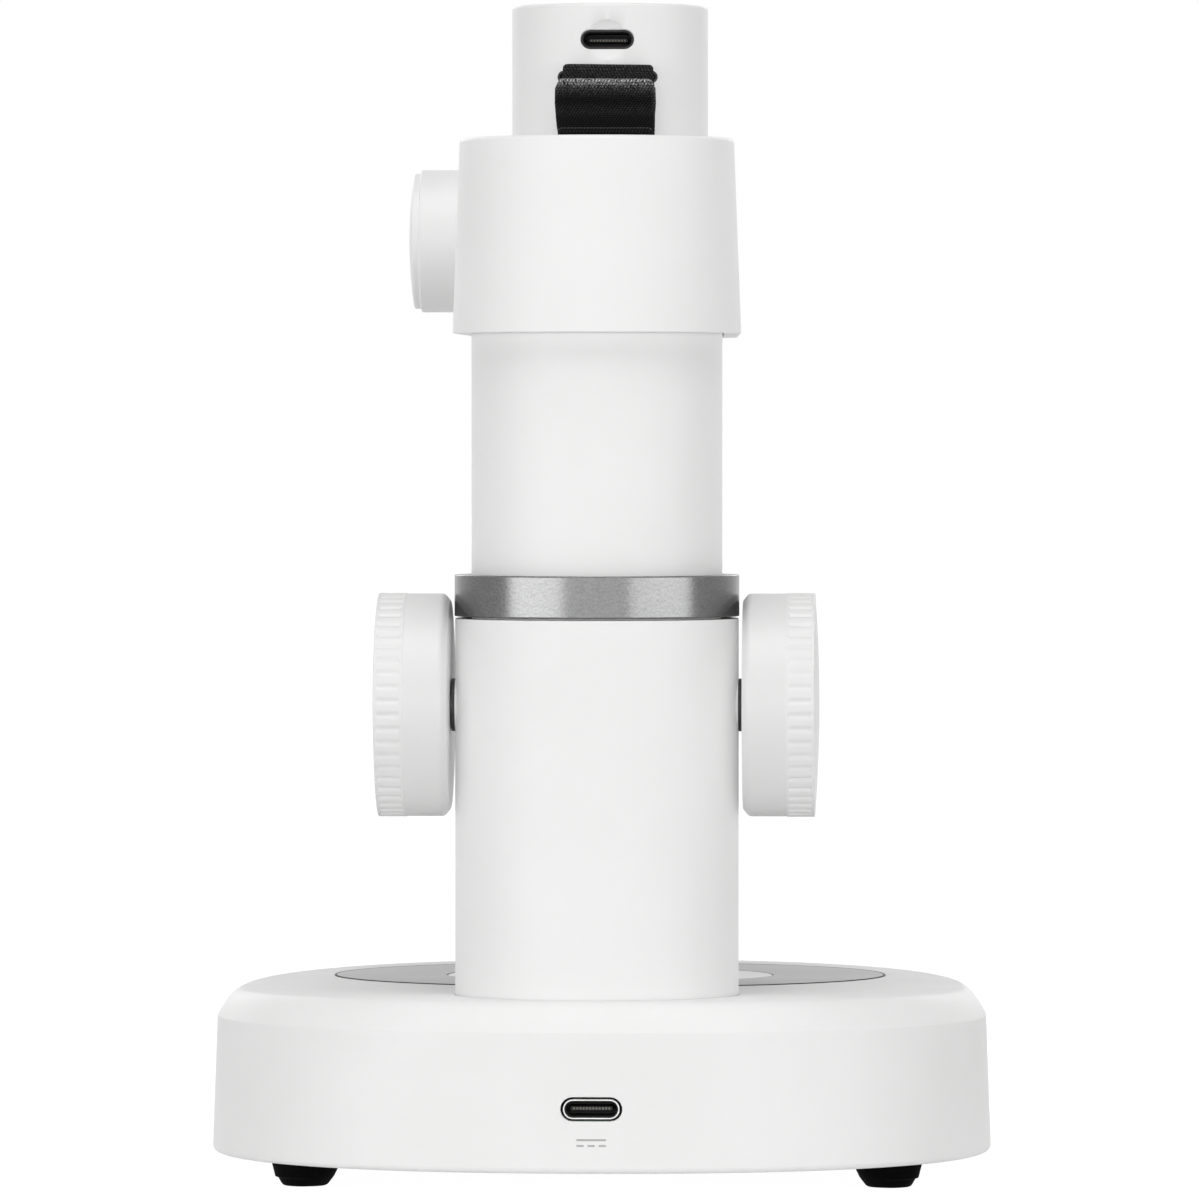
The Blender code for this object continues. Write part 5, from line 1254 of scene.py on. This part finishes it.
lock = stored("lock_knob_skin", moved(turned(lock_profile(), 144), (0.0, STAGE_Y, LOCK_Z), "+X"))
lock_bore = [(0.0, 20.0), (2.5, 20.0), (2.5, 30.4), (0.0, 30.4)]
carved(lock, moved(turned(lock_bore, 32), (0.0, STAGE_Y, LOCK_Z), "+X"))
finished(lock, "lock_knob", WHITE_ARM, "white_plastic", "lock_knob")

# %% [markdown]
# ## Microscope barrel
#
# The barrel is a hollow turned part with openings: a socket in a shallow dish and a slot for
# the strap behind, two round holes for buttons in front. The dish is cut with a flattened
# ball, which leaves the soft crescent of shade above the socket.

# %% Barrel
SLOT_WIDTH, SLOT_HEIGHT = 16.5, 2.1


def ball(half_x, half_y, half_z, place):
    """An ellipsoid: (a sin v cos u, b sin v sin u, c cos v)."""
    v = np.linspace(0.0, np.pi, 24)
    profile = np.stack([np.sin(v), -np.cos(v)], axis=-1)
    profile[[0, -1], 0] = 0.0
    points, faces = turned(profile, 48)
    return points * np.array([half_x, half_y, half_z]) + np.array(place), faces


def make_barrel():
    """The wall as one closed profile, then the dish, the openings and room for the pin."""
    profile = [(SCOPE_R, SCOPE_TOP_Z, 0.5), (SCOPE_R, 139.6), (BARREL_R, 139.6),
               (BARREL_R, BARREL_END_Z, 0.4), (12.6, BARREL_END_Z, 0.1), (12.6, 82.3),
               (11.0, 82.3), (11.0, 104.0), (13.0, 104.0), (13.0, 141.4),
               (14.45, 141.4), (14.45, 187.9), (15.35, 187.9), (15.35, SCOPE_TOP_Z)]
    barrel = stored("barrel_skin", axis_turned(profile, 160, STAGE_Y, radius=0.12))
    back = BARREL_BACK_Y
    corners = ((back - 5.15, 176.7), (back - 3.0, 176.7), (back - 3.0, 179.1), (back - 5.15, 179.1))
    box = np.array([[x, y, z] for x in (-8.94, 8.94) for y, z in corners]).reshape(2, 4, 3)
    button_hole = turned(pin(BARREL_BUTTON_R + GAP, 13.0, 16.2, 0.15), 48)
    return carved(
        barrel,
        ball(4.8, 1.4, 3.9, (0.0, back + 0.7, SCOPE_USB_Z)),
        oval_tool(8.8, 3.15, back - 5.0, back - 0.62, SCOPE_USB_Z, 0.08),
        oval_tool(SLOT_WIDTH, SLOT_HEIGHT, back - 6.0, back - 1.2, STRAP_Z, 0.02),
        lofted(box),
        *[moved(button_hole, (0.0, STAGE_Y, z), "-Y") for _, z in BARREL_BUTTONS])


finished(make_barrel(), "scope", WHITE_BARREL, "white_plastic", "scope_body")
CAP = eased([(0.0, 188.2), (15.05, 188.2), (15.05, 189.7, 0.3), (0.0, 189.7)], 0.1)
finished(stored("barrel_cap", moved(turned(CAP, 144), (0.0, STAGE_Y, 0.0))), "scope", WHITE_BARREL,
         "white_plastic", "scope_cap")

# %% [markdown]
# The strap's slot is lined in black, as painted shade: the dark lining stands for the shade
# deep inside the slot. The lining's lip has to follow the round wall, so each
# of its ovals is bent to the wall's circle.

# %% Black lining of the strap's slot, as painted shade
def make_slot_shade_lining():
    """Ovals that follow the round wall: at x the wall lies back - R + sqrt(R² - x²), less a
    depth. The rings run from inside, over the lip and back in, and close in a loop."""
    rows = ((0.0, 2.4), (0.0, 0.12), (0.1, 0.06), (0.3, 0.06), (0.42, 0.2), (0.42, 2.4))
    rings = []
    for inset, depth in rows:
        ring = oval(SLOT_WIDTH - 0.02 - 2 * inset, SLOT_HEIGHT - 0.02 - 2 * inset, 0.0, STRAP_Z, steps=14)
        ring[:, 1] = STAGE_Y + np.sqrt(SCOPE_R ** 2 - ring[:, 0] ** 2) - depth
        rings.append(ring)
    rings = np.array(rings)
    return rings.reshape(-1, 3), joined(len(rows), rings.shape[1], loop_rows=True)


# The black lining is painted shade for the inside of the slot.
finished(stored("slot_lining", make_slot_shade_lining()), "scope", BLACK_SOCKET, "black_plastic")

# %% [markdown]
# ## Buttons
#
# The two buttons on the front of the barrel and the light button on the base share one turned
# shape: a shallow dished face with a rounded edge, and a flange inside that keeps the button
# from falling out.

# %% Buttons
def button_profile(radius, face, flange_r, flange_at, stem_end):
    """The face dips by a quarter of a millimetre towards its middle, as r² does."""
    r = np.linspace(0.0, 1.0, 7)
    dish = np.stack([(radius - 0.5) * r, face - 0.25 + 0.25 * r ** 2], axis=-1)
    side = eased([tuple(dish[-1]), (radius, face, 0.4), (radius, flange_at), (flange_r, flange_at),
                  (flange_r, flange_at - 0.8), (1.2, flange_at - 0.8), (1.2, stem_end), (0.0, stem_end)],
                 0.1)
    return np.vstack([dish, side[1:]])


light = turned(button_profile(LIGHT_BUTTON_R, 81.57, 5.2, 78.55, 75.25), 64)
finished(stored("light_button_cap", moved(light, (0.0, 0.0, LIGHT_BUTTON_Z), "-Y")), "light_button",
         BUTTON_GREY, "button_grey", "light_button")
for name, z in BARREL_BUTTONS:
    small = button_profile(BARREL_BUTTON_R, 16.6, 3.9, 15.47, 11.2)
    shape = moved(turned(small, 64), (0.0, STAGE_Y, z), "-Y")
    finished(stored(name + "_button_cap", shape), name + "_button", BLACK, "black_plastic",
             name + "_button")

# %% [markdown]
# ## Focus ring, hood and front glass
#
# The lower end is black. The focus ring has coarse grip ribs, made with the same idea as the
# knobs' fine ones; the hood below it shades the front glass.

# %% Focus ring
GRIPS, COLUMNS_PER_GRIP = 24, 16


def grip_dip(angle, height):
    """Grooves round the ring that fade out near its two rims."""
    phase = (angle * GRIPS / (2 * np.pi)) % 1.0
    groove = smooth(0.50, 0.60, phase) * (1 - smooth(0.90, 1.0, phase))
    return 0.45 * groove * smooth(88.9, 89.4, height) * (1 - smooth(100.7, 101.2, height))


def ring_profile():
    """Inner wall and rims, with close rows where the grooves begin and end."""
    rows = np.concatenate([np.linspace(88.9, 89.4, 4), [92.0, 95.0, 98.0], np.linspace(100.7, 101.2, 4)])
    side = np.stack([np.full(len(rows), BARREL_R), rows], axis=-1)
    top = eased([(BARREL_R, 101.3), (BARREL_R, 101.7), (12.9, 101.7), (12.9, 95.0)], 0.25)
    low = eased([(12.9, 94.9), (12.9, 88.4), (BARREL_R, 88.4), (BARREL_R, 88.8)], 0.25)
    return np.vstack([low, side, top])


grip = turned(ring_profile(), GRIPS * COLUMNS_PER_GRIP, grip_dip)
finished(stored("focus_grip", moved(grip, (0.0, STAGE_Y, 0.0))), "focus_ring", BLACK,
         "black_plastic", "scope_focus_ring")

# %% [markdown]
# The hood is a short tube with a ledge inside for the front glass, which is set back from its
# rim so that nothing scratches it.

# %% Hood and front glass
HOOD = [(BARREL_R, 88.1), (BARREL_R, 76.0, 1.0), (11.6, 76.0), (11.6, 77.9), (10.3, 77.9), (10.3, 80.5),
        (12.9, 80.5), (12.9, 88.1)]
finished(stored("hood_skin", axis_turned(HOOD, 144, STAGE_Y, radius=0.18)), "scope", BLACK,
         "black_plastic", "lens_hood")
GLASS = eased([(0.0, 76.3), (11.3, 76.3), (11.3, 77.6), (0.0, 77.6)], 0.15)
finished(stored("front_glass_disc", moved(turned(GLASS, 96), (0.0, STAGE_Y, 0.0))), "scope", CLEAR_GLASS,
         "clear_glass", "front_glass")

# %% [markdown]
# ## Light ring
#
# Eight small lamps sit on the ring-shaped board behind the front glass. Each is a rounded
# white block with a yellow face, which is how such lamps look when they are off.

# %% Small lamps
LAMP_WHITE = textured("lamp_white", grey(0.74), grey(0.80), 0.40, 0.30)
LAMP_YELLOW = textured("lamp_yellow", (0.80, 0.58, 0.08, 1.0), (0.86, 0.66, 0.14, 1.0), 0.30, 0.22)


def small_block(half, low, high, radius):
    """A square of side 2 half with rounded corners, from low to high."""
    square = eased([(-half, -half), (half, -half), (half, half), (-half, half)], radius, closed=True)
    rings = [np.column_stack([square * grow, np.full(len(square), z)])
             for grow, z in ((0.94, low), (1.0, low + 0.1), (1.0, high))]
    return lofted(np.array(rings))


def round_the_ring(shape, radius):
    """Repeats a shape eight times round the microscope's axis."""
    turns = np.arange(8) * 2 * np.pi / 8
    return gathered([(shape[0] + np.array([radius * math.cos(t), STAGE_Y + radius * math.sin(t), 0.0]),
                      shape[1]) for t in turns])


LAMP_RING_R = 9.1
finished(stored("ring_lamps", round_the_ring(small_block(0.75, 80.15, 80.8, 0.15), LAMP_RING_R)),
         "scope", LAMP_WHITE, "circuit_board")
finished(stored("ring_lamp_faces", round_the_ring(small_block(0.5, 80.08, 80.2, 0.2), LAMP_RING_R)),
         "scope", LAMP_YELLOW, "circuit_board")

# %% [markdown]
# ## Strap
#
# A band of webbing comes out of the slot, goes down behind the barrel, lies along the arm in
# two layers and comes up again to a fold. It could be draped by simulation, but a sewn strap
# keeps the creases it was sewn with, so its middle line is drawn as a path in the plane
# X = 0, and a flat section with rounded edges is carried along it.

# %% Strap
STRAP_HALF_THICKNESS = 0.45
STRAP_STEP = 0.16


def strap_path():
    """The middle line from the pin to the tucked end, corners rounded, evenly spaced. Its first
    number is the distance behind the barrel, its second the height."""
    corners = [
        (-2.6, 177.9), (0.55, 177.95, 1.1), (0.55, 179.42, 0.62), (1.75, 179.42, 0.62),
        (1.75, 176.9, 1.0), (0.58, 175.3, 1.2), (0.58, 166.88, 1.7), (35.7, 166.88, 0.56),
        (35.7, 168.0, 0.56), (3.25, 168.0, 2.2), (3.10, 173.4, 2.0), (3.95, 176.0, 0.9),
        (3.90, 177.02, 0.52), (2.78, 177.02, 0.52), (2.78, 175.7, 1.0), (1.82, 174.2, 1.0),
        (1.82, 171.6)]
    line = eased(corners, 1.0, steps=10)
    reach = np.concatenate([[0.0], np.cumsum(np.hypot(*np.diff(line, axis=0).T))])
    even = np.arange(0.0, reach[-1], STRAP_STEP)
    y = BARREL_BACK_Y + np.interp(even, reach, line[:, 0])
    return np.stack([y, np.interp(even, reach, line[:, 1])], axis=-1), even


def strap_surface():
    """Each ring is the section (u, v) set across the path: x is u times half the width there
    plus a slight sway, and v goes along the path's normal (-z', y')."""
    line, reach = strap_path()
    step = np.gradient(line, axis=0)
    step /= np.linalg.norm(step, axis=1)[:, None]
    normal = np.stack([-step[:, 1], step[:, 0]], axis=-1)
    u = np.linspace(-1.0, 1.0, 41)
    edge = np.sqrt(np.clip(1 - np.abs(u) ** 24, 0.0, 1.0))
    section_u = np.concatenate([u, u[::-1][1:-1]])
    section_v = np.concatenate([-edge, edge[1:-1]]) * STRAP_HALF_THICKNESS
    total = reach[-1]
    half = np.interp(reach, [0.0, 5.0, 8.5, 14.0, 45.0, total - 17.0, total - 15.0, total - 12.0,
                             total - 10.0, total - 7.6, total - 6.4, total],
                     [7.4, 7.4, 7.6, 7.8, 7.6, 7.6, 7.95, 8.15, 8.3, 8.25, 7.75, 7.4])
    sway = np.interp(reach, [9.0, 17.5, 52.5, total - 16.0, total - 13.0], [-0.2, 0.0, -0.75, 0.0, 0.2])
    x = sway[:, None] + half[:, None] * section_u[None, :]
    y = line[:, :1] + normal[:, :1] * section_v[None, :]
    z = line[:, 1:] + normal[:, 1:] * section_v[None, :]
    z = z + 0.012 * x * smooth(176.0, 178.5, z)
    cloth = np.stack([x, reach[:, None] + 0 * x, section_v[None, :] + 0 * x], axis=-1)
    return np.stack([x, y, z], axis=-1), cloth, reach


def fold_sheen_and_wear(points, reach):
    """Painted highlight over a little wear: one along the upper fold, and small shares of painted
    light on the band at the slot and just below the fold, a faint lighter stripe across the middle of the
    outer layer, and wear along its edge."""
    x, y, z = np.moveaxis(points, -1, 0)
    y, from_end = y - BARREL_BACK_Y, reach[-1] - reach
    # A painted highlight along the fold's crest, with its soft edge below it; the band at the slot is
    # painted a touch lighter, as painted light.
    top = np.exp(-((from_end - 6.3) / 0.62) ** 2) + 0.16 * np.exp(-((from_end - 7.2) / 1.3) ** 2)
    along = top + 0.075 * (reach < 9.5) + 0.045 * np.exp(-((from_end - 11.2) / 0.9) ** 2)
    worn = 0.30 * smooth(-7.5, -8.1, x) * smooth(3.0, 3.4, y) * smooth(169.0, 171.0, z) * (y < 6.0)
    return np.clip(along[:, None] + worn, 0.0, 1.0)


def make_strap():
    """Stores the band, and writes its cloth coordinates and its mask of painted highlight and wear into
    the mesh.
    """
    points, cloth, reach = strap_surface()
    strap = stored("webbing_strap", lofted(points))
    mesh = strap.data
    place = mesh.attributes.new("cloth", "FLOAT_VECTOR", "POINT")
    place.data.foreach_set("vector", (cloth.reshape(-1, 3) * MM).astype(np.float32).ravel())
    fold = mesh.attributes.new("fold", "FLOAT", "POINT")
    fold.data.foreach_set("value", fold_sheen_and_wear(points, reach).astype(np.float32).ravel())
    print("strap is", round(reach[-1], 1), "mm long")
    return strap, reach[-1]


strap, strap_length = make_strap()
finished(strap, "scope", WEBBING, "black_webbing", "hand_strap")
